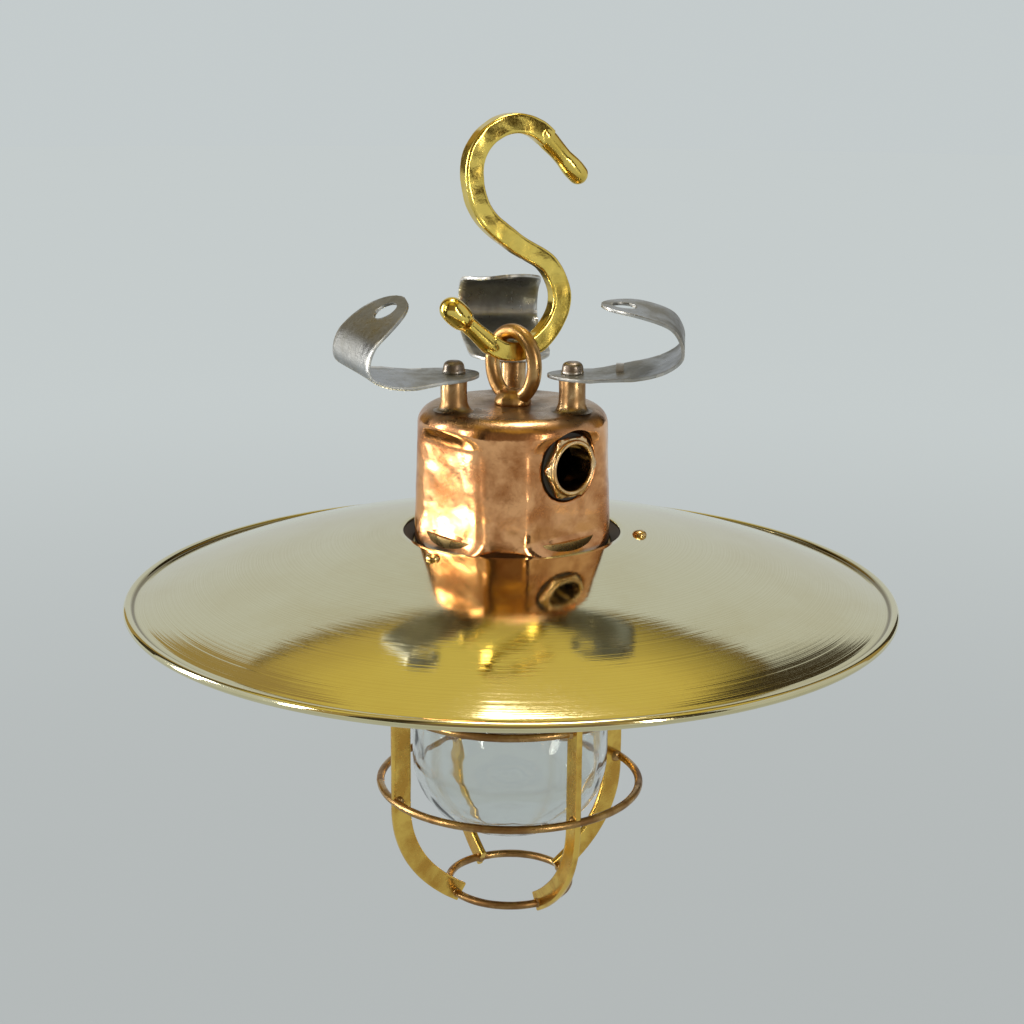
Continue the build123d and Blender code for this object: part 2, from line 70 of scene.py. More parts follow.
# values go in by socket, and a socket given as a value is linked
def setSockets(tree, made, values):
    for socket, value in values.items():
        if isinstance(value, bpy.types.NodeSocket):
            tree.links.new(value, made.inputs[socket])
        else:
            made.inputs[socket].default_value = value
    return made


def addNode(tree, kind, values=None, **settings):
    made = tree.nodes.new(kind)
    for key, value in settings.items():
        setattr(made, key, value)
    return setSockets(tree, made, values or {})


def calc(tree, operation, *values):
    return addNode(tree, "ShaderNodeMath", dict(enumerate(values)), operation=operation).outputs[0]


def plus(tree, a, b):
    return calc(tree, "ADD", a, b)


def minus(tree, a, b):
    return calc(tree, "SUBTRACT", a, b)


def times(tree, a, b):
    return calc(tree, "MULTIPLY", a, b)


# a value run from low..high to first..last
def ramp(tree, value, low=0.0, high=1.0, first=0.0, last=1.0, kind="LINEAR"):
    values = {0: value, 1: low, 2: high, 3: first, 4: last}
    return addNode(tree, "ShaderNodeMapRange", values, interpolation_type=kind).outputs[0]


def noiseOn(tree, place, scale, detail, **more):
    values = {"Vector": place, "Scale": scale, "Detail": detail}
    values.update(more)
    kind = "4D" if "W" in more else "3D"
    return addNode(tree, "ShaderNodeTexNoise", values, noise_dimensions=kind).outputs[0]


def objectPlace(tree):
    return addNode(tree, "ShaderNodeTexCoord").outputs["Object"]


def heightOf(tree, place):
    return addNode(tree, "ShaderNodeSeparateXYZ", {0: place}).outputs[2]


# distance from the lantern's axis
def outFromAxis(tree, place):
    flat = addNode(tree, "ShaderNodeVectorMath", {0: place, 1: (1, 1, 0)}, operation="MULTIPLY").outputs[0]
    return addNode(tree, "ShaderNodeVectorMath", {0: flat}, operation="LENGTH").outputs[1]


# how every geometry tree ends
def endTree(tree, geometry, material):
    real = addNode(tree, "GeometryNodeRealizeInstances", {0: geometry}).outputs[0]
    coated = addNode(tree, "GeometryNodeSetMaterial", {"Geometry": real, "Material": material}).outputs[0]
    addNode(tree, "NodeGroupOutput", {0: coated})
    return tree


def addSockets(tree, inputs, outputs):
    for name, kind, default in inputs:
        socket = tree.interface.new_socket(name, in_out="INPUT", socket_type="NodeSocket" + kind)
        if default is not None:
            socket.default_value = default
    for name, kind in outputs:
        tree.interface.new_socket(name, in_out="OUTPUT", socket_type="NodeSocket" + kind)


def linked(name, mesh):
    made = bpy.data.objects.new(name, mesh)
    bpy.context.scene.collection.objects.link(made)
    return made


def meshObject(name, points, faces=(), edges=()):
    mesh = bpy.data.meshes.new(name)
    mesh.from_pydata([tuple(p) for p in points], list(edges), list(faces))
    return linked(name, mesh)


# runs a node tree on an object and hands back a plain mesh
def plainMesh(source, tree, values, name):
    modifier = source.modifiers.new("make", "NODES")
    modifier.node_group = tree
    for item in tree.interface.items_tree:
        if item.item_type == "SOCKET" and item.in_out == "INPUT" and item.name in values:
            modifier[item.identifier] = values[item.name]
    source.update_tag()
    graph = bpy.context.evaluated_depsgraph_get()
    mesh = bpy.data.meshes.new_from_object(source.evaluated_get(graph), depsgraph=graph)
    mesh.name = name
    bpy.data.objects.remove(source)
    return linked(name, mesh)


# merges doubles, turns the faces outwards and shades smooth
def tidyMesh(made, sharpAngle=None):
    work = bmesh.new()
    work.from_mesh(made.data)
    bmesh.ops.remove_doubles(work, verts=work.verts, dist=2e-6)
    bmesh.ops.dissolve_degenerate(work, edges=work.edges, dist=1e-7)
    bmesh.ops.recalc_face_normals(work, faces=work.faces)
    for face in work.faces:
        face.smooth = True
    if sharpAngle:
        for edge in work.edges:
            if len(edge.link_faces) == 2 and edge.calc_face_angle(0) > math.radians(sharpAngle):
                edge.smooth = False
    work.to_mesh(made.data)
    work.free()
    return made


def applyAll(made):
    graph = bpy.context.evaluated_depsgraph_get()
    mesh = bpy.data.meshes.new_from_object(made.evaluated_get(graph), depsgraph=graph)
    made.modifiers.clear()
    made.data = mesh
    return made


def cutWith(made, cutter):
    modifier = made.modifiers.new("cut", "BOOLEAN")
    modifier.object = cutter
    modifier.operation = "DIFFERENCE"
    modifier.solver = "EXACT"
    applyAll(made)
    bpy.data.objects.remove(cutter)
    return made


def joined(name, parts):
    work = bmesh.new()
    for part in parts:
        work.from_mesh(part.data)
        bpy.data.objects.remove(part)
    mesh = bpy.data.meshes.new(name)
    work.to_mesh(mesh)
    work.free()
    return linked(name, mesh)


# melts joined parts into one cast skin
def fuse(made, voxel, smoothing):
    remesh = made.modifiers.new("melt", "REMESH")
    remesh.mode = "VOXEL"
    remesh.voxel_size = voxel
    remesh.use_smooth_shade = True
    smooth = made.modifiers.new("smooth", "SMOOTH")
    smooth.factor = 0.5
    smooth.iterations = smoothing
    return tidyMesh(applyAll(made))


def finishPiece(made, body, slotName, material, *nodes):
    made.data.materials.clear()
    made.data.materials.append(material)
    for polygon in made.data.polygons:
        polygon.material_index = 0
    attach(made, body)
    if nodes:
        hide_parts(*nodes)
    print("made", made.name, len(made.data.polygons), "faces")
    return made


def moved(made, matrix):
    made.data.transform(matrix)
    return made


# local Z turned to an axis, at a place
def facing(place, axis):
    return Matrix.Translation(place) @ axis.to_track_quat("Z", "Y").to_matrix().to_4x4()


def arcPoints(centre, radius, start, end, steps):
    found = []
    for step in range(steps + 1):
        a = math.radians(start + (end - start) * step / steps)
        found.append((centre[0] + radius * math.cos(a), centre[1] + radius * math.sin(a)))
    return found


# spins a closed profile about Z, with optional flats and casting waviness
def makeTurnedTree():
    tree = bpy.data.node_groups.new("turned part", "GeometryNodeTree")
    addSockets(tree, [
        ("Profile", "Geometry", None), ("Segments", "Int", 96), ("Flat Count", "Float", 4.0),
        ("Flat Distance", "Float", 1.0), ("Flat Turn", "Float", 0.0), ("Flat Bottom", "Float", -9.0),
        ("Flat Top", "Float", 9.0), ("Flat Run Out", "Float", 80.0), ("Flat Blend", "Float", 0.001),
        ("Waviness", "Float", 0.0),
        ("Wave Scale", "Float", 40.0), ("Material", "Material", None)], [("Geometry", "Geometry")])
    given = tree.nodes.new("NodeGroupInput").outputs
    count = addNode(tree, "GeometryNodeAttributeDomainSize", {0: given["Profile"]}).outputs["Point Count"]
    columns = plus(tree, given["Segments"], 1.0)
    grid = addNode(tree, "GeometryNodeMeshGrid", {0: 1.0, 1: 1.0, 2: columns, 3: count}).outputs["Mesh"]
    place = addNode(tree, "GeometryNodeInputPosition").outputs[0]
    parts = addNode(tree, "ShaderNodeSeparateXYZ", {0: place}).outputs
    lastRow = minus(tree, count, 1.0)
    row = calc(tree, "ROUND", times(tree, plus(tree, parts[1], 0.5), lastRow))
    sample = addNode(tree, "GeometryNodeSampleIndex", data_type="FLOAT_VECTOR", domain="POINT")
    tree.links.new(given["Profile"], sample.inputs["Geometry"])
    tree.links.new(place, sample.inputs["Value"])
    tree.links.new(row, sample.inputs["Index"])
    profile = addNode(tree, "ShaderNodeSeparateXYZ", {0: sample.outputs[0]}).outputs
    turn = times(tree, plus(tree, parts[0], 0.5), 2 * math.pi)
    # distance to the nearest flat along this direction, run out above and below
    sector = calc(tree, "DIVIDE", math.pi, given["Flat Count"])
    offFlat = calc(tree, "WRAP", minus(tree, turn, given["Flat Turn"]), sector,
                   times(tree, sector, -1.0))
    flat = calc(tree, "DIVIDE", given["Flat Distance"], calc(tree, "COSINE", offFlat))
    under = minus(tree, given["Flat Bottom"], profile[2])
    over = minus(tree, profile[2], given["Flat Top"])
    runOut = calc(tree, "MAXIMUM", calc(tree, "MAXIMUM", under, over), 0.0)
    runOut = times(tree, calc(tree, "POWER", runOut, 2.0), given["Flat Run Out"])
    radius = calc(tree, "SMOOTH_MIN", profile[0], plus(tree, flat, runOut), given["Flat Blend"])
    # waviness, none on the axis
    cosine, sine = calc(tree, "COSINE", turn), calc(tree, "SINE", turn)
    around = addNode(tree, "ShaderNodeCombineXYZ", {
        0: times(tree, cosine, radius), 1: times(tree, sine, radius), 2: profile[2]})
    waves = noiseOn(tree, around.outputs[0], given["Wave Scale"], 2.0)
    push = times(tree, minus(tree, waves, 0.5), given["Waviness"])
    push = times(tree, push, calc(tree, "GREATER_THAN", radius, 0.0005))
    radius = plus(tree, radius, push)
    target = addNode(tree, "ShaderNodeCombineXYZ", {
        0: times(tree, cosine, radius), 1: times(tree, sine, radius), 2: profile[2]})
    placed = addNode(tree, "GeometryNodeSetPosition", {"Geometry": grid, "Position": target.outputs[0]})
    welded = addNode(tree, "GeometryNodeMergeByDistance", {0: placed.outputs[0], "Distance": 1e-6})
    return endTree(tree, welded.outputs[0], given["Material"])


turnedTree = makeTurnedTree()


# rule: any of the tree's inputs, such as {"Flat Count": 6}
def turned(name, profile, material, segments=96, rule=None, sharpAngle=None):
    points = [(r, 0, z) for r, z in profile]
    edges = [(i, i + 1) for i in range(len(points) - 1)]
    values = {"Segments": segments, "Material": material}
    values.update(rule or {})
    made = plainMesh(meshObject(name + "Profile", points, edges=edges), turnedTree, values, name)
    return tidyMesh(made, sharpAngle=sharpAngle)


# sweeps a rounded bar along a line of points, with hammering
def makeSweptTree():
    tree = bpy.data.node_groups.new("swept bar", "GeometryNodeTree")
    addSockets(tree, [
        ("Path", "Geometry", None), ("Across", "Float", 0.003), ("Along Normal", "Float", 0.003),
        ("Corner", "Float", 0.001), ("Plane Normal", "Vector", (0, 1, 0)), ("Hammer Depth", "Float", 0.0),
        ("Hammer Scale", "Float", 90.0), ("Seed", "Float", 3.0), ("Material", "Material", None)],
        [("Geometry", "Geometry")])
    given = tree.nodes.new("NodeGroupInput").outputs
    line = addNode(tree, "GeometryNodeMeshToCurve", {0: given["Path"]}).outputs[0]
    straightened = addNode(tree, "GeometryNodeSetCurveNormal", mode="FREE")
    tree.links.new(line, straightened.inputs["Curve"])
    tree.links.new(given["Plane Normal"], straightened.inputs["Normal"])
    section = addNode(tree, "GeometryNodeCurvePrimitiveQuadrilateral", {
        "Width": given["Along Normal"], "Height": given["Across"]}).outputs[0]
    rounded = addNode(tree, "GeometryNodeFilletCurve", mode="POLY")
    tree.links.new(section, rounded.inputs[0])
    tree.links.new(given["Corner"], rounded.inputs["Radius"])
    rounded.inputs["Count"].default_value = 5
    spaced = addNode(tree, "GeometryNodeResampleCurve", {"Curve": rounded.outputs[0], "Count": 40})
    bar = addNode(tree, "GeometryNodeCurveToMesh", {
        "Curve": straightened.outputs[0], "Profile Curve": spaced.outputs[0], "Fill Caps": True}).outputs[0]
    place = addNode(tree, "GeometryNodeInputPosition").outputs[0]
    dents = addNode(tree, "ShaderNodeTexNoise", {
        "Vector": place, "W": given["Seed"], "Scale": given["Hammer Scale"], "Detail": 1.0},
        noise_dimensions="4D").outputs[0]
    depth = times(tree, minus(tree, dents, 0.55), given["Hammer Depth"])
    normal = addNode(tree, "GeometryNodeInputNormal").outputs[0]
    offset = addNode(tree, "ShaderNodeVectorMath", {0: normal, "Scale": depth}, operation="SCALE").outputs[0]
    dented = addNode(tree, "GeometryNodeSetPosition", {"Geometry": bar, "Offset": offset})
    return endTree(tree, dented.outputs[0], given["Material"])


sweptTree = makeSweptTree()


def swept(name, points, size, planeNormal, material, closed=False, rule=None):
    edges = [(i, i + 1) for i in range(len(points) - 1)]
    if closed:
        edges.append((len(points) - 1, 0))
    values = {"Across": size[0], "Along Normal": size[1], "Corner": size[2], "Plane Normal": planeNormal,
              "Material": material}
    values.update(rule or {})
    made = plainMesh(meshObject(name + "Path", points, edges=edges), sweptTree, values, name)
    return tidyMesh(made)


# copies of one part round the lantern's axis; the part stands on +X, at azimuth 90
def makeArrayTree():
    tree = bpy.data.node_groups.new("copies round the axis", "GeometryNodeTree")
    addSockets(tree, [
        ("Part", "Geometry", None), ("Count", "Int", 3), ("First Turn", "Float", 0.0),
        ("Turn Play", "Float", 0.0), ("Seed", "Int", 1), ("Material", "Material", None)],
        [("Geometry", "Geometry")])
    given = tree.nodes.new("NodeGroupInput").outputs
    line = addNode(tree, "GeometryNodeMeshLine", {"Count": given["Count"], "Offset": (0, 0, 0)}).outputs[0]
    index = addNode(tree, "GeometryNodeInputIndex").outputs[0]
    step = calc(tree, "DIVIDE", 2 * math.pi, given["Count"])
    low = times(tree, given["Turn Play"], -1.0)
    play = addNode(tree, "FunctionNodeRandomValue", {
        2: low, 3: given["Turn Play"], "Seed": given["Seed"]}, data_type="FLOAT").outputs[1]
    turn = plus(tree, given["First Turn"], times(tree, index, step))
    spin = addNode(tree, "ShaderNodeCombineXYZ", {2: plus(tree, turn, play)}).outputs[0]
    copies = addNode(tree, "GeometryNodeInstanceOnPoints", {
        "Points": line, "Instance": given["Part"], "Rotation": spin}).outputs[0]
    return endTree(tree, copies, given["Material"])


arrayTree = makeArrayTree()


def copiesRound(name, part, count, firstAzimuth, material, turnPlay=0.0, seed=1):
    values = {"Count": count, "First Turn": math.radians(firstAzimuth - 90), "Material": material,
              "Turn Play": math.radians(turnPlay), "Seed": seed}
    return tidyMesh(plainMesh(part, arrayTree, values, name), sharpAngle=50)


# shader effects shared by several finishes
def makeAgedGroup():
    tree = bpy.data.node_groups.new("aged metal", "ShaderNodeTree")
    addSockets(tree, [
        ("Clean", "Color", None), ("Aged", "Color", None), ("Dirt And Shade", "Color", None),
        ("Patch Size", "Float", 60.0), ("Aged Amount", "Float", 0.5), ("Dirt Amount", "Float", 0.3),
        ("Smooth", "Float", 0.2), ("Dull", "Float", 0.4), ("Seed", "Float", 0.0)],
        [("Color", "Color"), ("Roughness", "Float"), ("Height", "Float"), ("Aged Mask", "Float")])
    given = tree.nodes.new("NodeGroupInput").outputs
    place = objectPlace(tree)
    cloud = addNode(tree, "ShaderNodeTexNoise", {
        "Vector": place, "W": given["Seed"], "Scale": given["Patch Size"], "Detail": 5.0,
        "Roughness": 0.62, "Distortion": 0.4}, noise_dimensions="4D").outputs[0]
    threshold = minus(tree, 0.72, times(tree, given["Aged Amount"], 0.4))
    aged = ramp(tree, cloud, minus(tree, threshold, 0.09), plus(tree, threshold, 0.09))
    speckSize = times(tree, given["Patch Size"], 7.0)
    speck = addNode(tree, "ShaderNodeTexNoise", {
        "Vector": place, "W": given["Seed"], "Scale": speckSize, "Detail": 6.0, "Roughness": 0.7},
        noise_dimensions="4D").outputs[0]
    dirtLine = minus(tree, 0.78, times(tree, given["Dirt Amount"], 0.3))
    soiling = plus(tree, speck, times(tree, minus(tree, cloud, 0.5), 0.5))
    dirt = ramp(tree, soiling, dirtLine, plus(tree, dirtLine, 0.1))
    grain = noiseOn(tree, place, 900.0, 3.0)
    base = addNode(tree, "ShaderNodeMix", {0: aged, 6: given["Clean"], 7: given["Aged"]}, data_type="RGBA")
    soiled = addNode(tree, "ShaderNodeMix", {0: dirt, 6: base.outputs[2], 7: given["Dirt And Shade"]}, data_type="RGBA")
    dull = ramp(tree, calc(tree, "MAXIMUM", aged, dirt), first=given["Smooth"], last=given["Dull"])
    rough = plus(tree, dull, times(tree, minus(tree, grain, 0.5), 0.16))
    height = minus(tree, times(tree, grain, 0.35), times(tree, dirt, 0.6))
    addNode(tree, "NodeGroupOutput", {0: soiled.outputs[2], 1: rough, 2: height, 3: aged})
    return tree


# bright worn edges, and hollows darkened as painted shade and grime, read from the mesh's own curvature
def makeEdgeGroup():
    tree = bpy.data.node_groups.new("worn edges", "ShaderNodeTree")
    addSockets(tree, [("Wear", "Float", 0.5), ("Shade And Grime", "Float", 0.5)],
               [("Edge", "Float"), ("Shaded Hollow", "Float")])
    given = tree.nodes.new("NodeGroupInput").outputs
    point = addNode(tree, "ShaderNodeNewGeometry").outputs["Pointiness"]
    place = objectPlace(tree)
    chips = noiseOn(tree, place, 220.0, 4.0)
    broken = plus(tree, point, times(tree, minus(tree, chips, 0.5), 0.05))
    edge = ramp(tree, broken, 0.515, 0.56)
    # hollows get darker: painted shade, with some grime
    shadedHollow = ramp(tree, broken, 0.49, 0.44)
    addNode(tree, "NodeGroupOutput", {
        0: times(tree, edge, given["Wear"]), 1: times(tree, shadedHollow, given["Shade And Grime"])})
    return tree


# fine turning lines round the lantern's axis, deeper beyond a radius
def makeSpunGroup():
    tree = bpy.data.node_groups.new("turning lines", "ShaderNodeTree")
    addSockets(tree, [
        ("Lines", "Float", 600.0), ("Deep From", "Float", 0.1), ("Deep To", "Float", 0.14),
        ("Least", "Float", 0.2)], [("Height", "Float"), ("Streaks", "Float")])
    given = tree.nodes.new("NodeGroupInput").outputs
    place = objectPlace(tree)
    radius = outFromAxis(tree, place)
    wander = noiseOn(tree, place, 14.0, 1.0)
    shifted = plus(tree, radius, times(tree, wander, 0.0012))
    coarse = addNode(tree, "ShaderNodeTexNoise", {
        "W": shifted, "Scale": given["Lines"], "Detail": 2.0, "Roughness": 0.55},
        noise_dimensions="1D").outputs[0]
    fineScale = times(tree, given["Lines"], 4.0)
    fine = addNode(tree, "ShaderNodeTexNoise", {
        "W": shifted, "Scale": fineScale, "Detail": 2.0}, noise_dimensions="1D").outputs[0]
    deep = ramp(tree, radius, given["Deep From"], given["Deep To"], given["Least"], 1.0, kind="SMOOTHSTEP")
    height = times(tree, plus(tree, coarse, times(tree, fine, 0.25)), deep)
    addNode(tree, "NodeGroupOutput", {0: height, 1: fine})
    return tree


# soft-edged spot round a point, for painted shade and stains where parts meet
def makeSpotGroup():
    tree = bpy.data.node_groups.new("stain round a point", "ShaderNodeTree")
    addSockets(tree, [("Centre", "Vector", (0, 0, 0)), ("Inner", "Float", 0.01), ("Outer", "Float", 0.02)],
               [("Mask", "Float")])
    given = tree.nodes.new("NodeGroupInput").outputs
    place = objectPlace(tree)
    apart = addNode(tree, "ShaderNodeVectorMath", {0: place, 1: given["Centre"]}, operation="DISTANCE")
    away = apart.outputs[1]
    ragged = noiseOn(tree, place, 130.0, 4.0)
    uneven = plus(tree, away, times(tree, minus(tree, ragged, 0.5), 0.014))
    mask = ramp(tree, uneven, given["Outer"], given["Inner"], kind="SMOOTHSTEP")
    addNode(tree, "NodeGroupOutput", {0: mask})
    return tree


agedGroup = makeAgedGroup()
edgeGroup = makeEdgeGroup()
spunGroup = makeSpunGroup()
spotGroup = makeSpotGroup()


def useGroup(tree, group, values):
    made = tree.nodes.new("ShaderNodeGroup")
    made.node_tree = group
    return setSockets(tree, made, values).outputs


def rgb(r, g, b):
    return (r, g, b, 1.0)


def blended(tree, mask, first, second):
    return addNode(tree, "ShaderNodeMix", {0: mask, 6: first, 7: second}, data_type="RGBA").outputs[2]


def newMaterial(name, metallic=1.0):
    made = bpy.data.materials.new(name)
    made.use_nodes = True
    shader = made.node_tree.nodes["Principled BSDF"]
    shader.inputs["Metallic"].default_value = metallic
    return made, made.node_tree, shader


def connect(tree, shader, color, rough, height, depth):
    tree.links.new(color, shader.inputs["Base Color"])
    tree.links.new(rough, shader.inputs["Roughness"])
    bump = addNode(tree, "ShaderNodeBump", {"Height": height, "Distance": depth})
    tree.links.new(bump.outputs[0], shader.inputs["Normal"])


# a metal with patches, specks, worn edges, and hollows darkened with painted shade and grime
def metalFinish(name, look, wear=0.5, shadeAndGrime=0.5, edgeColor=None, depth=0.00012):
    made, tree, shader = newMaterial(name)
    aged = useGroup(tree, agedGroup, look)
    edges = useGroup(tree, edgeGroup, {"Wear": wear, "Shade And Grime": shadeAndGrime})
    # hollows take the dirt colour: painted shade, with some grime
    color = blended(tree, edges["Shaded Hollow"], aged["Color"], look["Dirt And Shade"])
    color = blended(tree, edges["Edge"], color, edgeColor or look["Clean"])
    rough = minus(tree, aged["Roughness"], times(tree, edges["Edge"], 0.12))
    rough = plus(tree, rough, times(tree, edges["Shaded Hollow"], 0.25))
    connect(tree, shader, color, rough, aged["Height"], depth)
    return made


# S-hook: hammered square bar bent into two loops, with a forged knob on each arm
hook = {"width": 9.5, "thickness": 8.5, "edge": 1.1, "upper": 22.2, "lower": 21.8, "start": 43.0,
        "end": 232.0, "bendStart": 185.0, "bendEnd": -50.0, "arm": 4.4,
        "bend": [(-17.0, -19.0), (0.0, -33.8), (17.8, -45.2), (24.2, -63.0)],
        "upperKnob": (31.0, 0.0), "lowerKnob": (-30.0, -66.0), "upperRadius": 5.2, "lowerRadius": 6.3}


def hookFinish():
    return metalFinish("hammered hook brass", {
        "Clean": rgb(0.89, 0.66, 0.15), "Aged": rgb(0.70, 0.49, 0.085), "Dirt And Shade": rgb(0.20, 0.13, 0.03),
        "Patch Size": 55.0, "Aged Amount": 0.4, "Dirt Amount": 0.1, "Smooth": 0.13, "Dull": 0.25,
        "Seed": 2.0}, wear=0.4, shadeAndGrime=0.9, depth=0.00008)


def hookPlane(point):
    across = Vector(mounts["hook_top"]["axis"]).cross(Vector((0, 0, 1))) * -1
    return across * point[0] * mm + Vector((0, 0, point[1] * mm))


# a smooth curve through the corners, leaving and arriving along the given headings
def smoothBend(corners, leave, arrive, steps):
    corners = [Vector(corner) for corner in corners]
    slopes = [(c - a).normalized() for a, c in zip(corners, corners[2:])]
    slopes = [Vector(leave)] + slopes + [Vector(arrive)]
    found = []
    for i, (a, b) in enumerate(zip(corners, corners[1:])):
        span = (b - a).length
        for step in range(steps):
            t = step / steps
            point = a * (2 * t ** 3 - 3 * t ** 2 + 1) + b * (3 * t ** 2 - 2 * t ** 3)
            point += slopes[i] * span * (t ** 3 - 2 * t ** 2 + t) + slopes[i + 1] * span * (t ** 3 - t ** 2)
            found.append(tuple(point))
    return found


# the arm draws out smoothly from the bar into a long rounded knob
def forgedKnob(name, start, knob, radius, material):
    begin, end = hookPlane(start), hookPlane(knob)
    reach = (end - begin).length / mm
    arm = hook["arm"]
    outline = [(0.0, -4.0), (4.5, -4.0), (5.0, -1.0), (4.9, 2.0), (arm * 1.02, reach * 0.4)]
    outline += [(arm, reach - 8.0), (radius * 0.92, reach - 5.0)]
    outline += [(radius * 0.99, reach - 2.5), (radius, reach), (radius * 0.98, reach + 2.2)]
    outline += [(r, z + reach + 3.1) for r, z in arcPoints((0, 0), radius * 0.95, 0, 90, 10)][1:]
    profile = [(max(r, 0.0) * mm, z * mm) for r, z in outline]
    made = turned(name, profile, material, segments=48, rule={"Waviness": 0.0008, "Wave Scale": 130.0})
    return moved(made, facing(begin, end - begin))


def makeHook():
    material = hookFinish()
    spacing = -joints["lantern_swing"]["pos_m"][2] / mm
    upper = arcPoints((0, 0), hook["upper"], hook["start"], hook["bendStart"], 50)
    lower = arcPoints((0, -spacing), hook["lower"], hook["bendEnd"], hook["end"] - 360, 30)
    leaveTurn, arriveTurn = math.radians(hook["bendStart"]), math.radians(hook["bendEnd"])
    leave = (-math.sin(leaveTurn), math.cos(leaveTurn))
    arrive = (math.sin(arriveTurn), -math.cos(arriveTurn))
    between = smoothBend([upper[-1]] + hook["bend"] + [lower[0]], leave, arrive, 14)
    line = upper + between[1:] + lower
    points = [hookPlane(p) for p in line]
    normal = Vector(mounts["hook_top"]["axis"])
    size = (hook["width"] * mm, hook["thickness"] * mm, hook["edge"] * mm)
    bar = swept("hookBar", points, size, normal, material,
                rule={"Hammer Depth": 0.0009, "Hammer Scale": 90.0})
    tips = [forgedKnob("upperKnob", line[0], hook["upperKnob"], hook["upperRadius"], material),
            forgedKnob("lowerKnob", line[-1], hook["lowerKnob"], hook["lowerRadius"], material)]
    made = fuse(joined("s_hook_forged", [bar] + tips), 0.00045, 2)
    finishPiece(made, "hook", "hook_brass", material, "s_hook")


makeHook()


# suspension eye: a teardrop loop of round bar on a collar
eye = {"azimuth": -42.0, "wire": 7.4, "across": 13.7, "tall": 16.4, "crown": 130.8, "collar": 9.2}


def eyeFinish():
    return metalFinish("worn eye bronze", {
        "Clean": rgb(0.60, 0.37, 0.15), "Aged": rgb(0.38, 0.21, 0.08), "Dirt And Shade": rgb(0.08, 0.045, 0.02),
        "Patch Size": 80.0, "Aged Amount": 0.6, "Dirt Amount": 0.25, "Smooth": 0.27, "Dull": 0.42,
        "Seed": 5.0}, wear=0.5, shadeAndGrime=0.9)


def makeEye():
    material = eyeFinish()
    across = heading(eye["azimuth"] + 90)
    centre = eye["crown"] - eye["tall"]
    line = arcPoints((0, 0), 1.0, 0, 352.5, 47)
    points = [across * x * eye["across"] * mm + Vector((0, 0, above(centre + z * eye["tall"])))
              for x, z in line]
    radius = eye["wire"] * mm / 2
    size = (radius * 2, radius * 2, radius * 0.999)
    loop = swept("eyeLoop", points, size, heading(eye["azimuth"]), material, closed=True,
                 rule={"Hammer Depth": 0.0004, "Hammer Scale": 150.0})
    wide = eye["collar"]
    outline = [(0, 84.0), (4.0, 84.0), (4.0, 95.1), (wide - 0.3, 95.1), (wide - 0.1, 96.6)]
    outline += [(wide - 0.6, 98.2), (wide - 1.4, 99.6), (6.6, 101.2), (4.0, 102.4), (0, 102.8)]
    collar = turned("eyeCollar", scaled(outline), material, segments=64,
                    rule={"Waviness": 0.0016, "Wave Scale": 130.0})
    made = fuse(joined("eye_bolt_cast", [loop, collar]), 0.00045, 4)
    finishPiece(made, "lantern", "bronze", material, "eye_bolt")


makeEye()


# housing: thick copper casting with four soft flats and a recess for the gland
body = {"radius": 48.0, "topRadius": 46.0, "top": 95.0, "bottom": 27.0, "shoulder": 9.0, "flat": 40.7,
        "flatBottom": 37.0, "flatTop": 79.0, "cavity": 36.5, "cavityTop": 90.5, "skirt": 44.2,
        "skirtTop": 37.5}
gland = {"height": 71.0, "bore": 11.0, "barrel": 12.6, "recess": 16.6, "flats": 14.2, "corner": 16.2,
         "inner": 30.5, "seat": 40.5, "front": 45.0}
glandAxis = Vector(mounts["cable_gland"]["axis"])
glandAzimuth = math.degrees(math.atan2(glandAxis.x, -glandAxis.y))
posts = {"circle": 32.6, "radius": 6.5, "top": 111.5, "first": -60.0}


def copperFinish():
    made, tree, shader = newMaterial("mottled cast copper")
    look = {"Clean": rgb(0.85, 0.43, 0.19), "Aged": rgb(0.50, 0.20, 0.07), "Dirt And Shade": rgb(0.14, 0.055, 0.022),
            "Patch Size": 52.0, "Aged Amount": 0.55, "Dirt Amount": 0.3, "Smooth": 0.12, "Dull": 0.26,
            "Seed": 8.0}
    aged = useGroup(tree, agedGroup, look)
    edges = useGroup(tree, edgeGroup, {"Wear": 0.6, "Shade And Grime": 0.7})
    place = objectPlace(tree)
    height = heightOf(tree, place)
    # the roof has gone grey-brown, and a grey band runs round the bottom edge
    roof = ramp(tree, height, above(88), above(95))
    color = blended(tree, times(tree, roof, 0.8), aged["Color"], rgb(0.36, 0.27, 0.155))
    hem = ramp(tree, height, above(30.5), above(29))
    color = blended(tree, hem, color, rgb(0.34, 0.31, 0.26))
    # painted shade and tarnish round the posts and the eye
    shadeAndTarnish = useGroup(tree, spotGroup, {
        "Centre": Vector((0, 0, above(95))), "Inner": 0.009, "Outer": 0.021})["Mask"]
    for quarter in range(3):
        foot = heading(posts["first"] + 120 * quarter) * posts["circle"] * mm + Vector((0, 0, above(95)))
        spot = useGroup(tree, spotGroup, {"Centre": foot, "Inner": 0.006, "Outer": 0.017})["Mask"]
        shadeAndTarnish = calc(tree, "MAXIMUM", shadeAndTarnish, spot)
    color = blended(tree, times(tree, shadeAndTarnish, 0.8), color, rgb(0.14, 0.10, 0.065))
    # hollows take the dirt colour: painted shade, with some grime
    color = blended(tree, edges["Shaded Hollow"], color, look["Dirt And Shade"])
    color = blended(tree, edges["Edge"], color, look["Clean"])
    # the cavity is coloured near-black
    radius = outFromAxis(tree, place)
    within = ramp(tree, radius, 0.0376, 0.0370)
    under = ramp(tree, height, above(92), above(91))
    darkCavity = times(tree, within, under)
    color = blended(tree, darkCavity, color, rgb(0.015, 0.012, 0.01))
    rough = plus(tree, aged["Roughness"], times(tree, shadeAndTarnish, 0.2))
    rough = plus(tree, rough, times(tree, roof, 0.1))
    rough = plus(tree, rough, times(tree, darkCavity, 0.5))
    swell = noiseOn(tree, place, 45.0, 2.0)
    relief = plus(tree, aged["Height"], times(tree, swell, 7.0))
    connect(tree, shader, color, rough, relief, 0.00012)
    return made


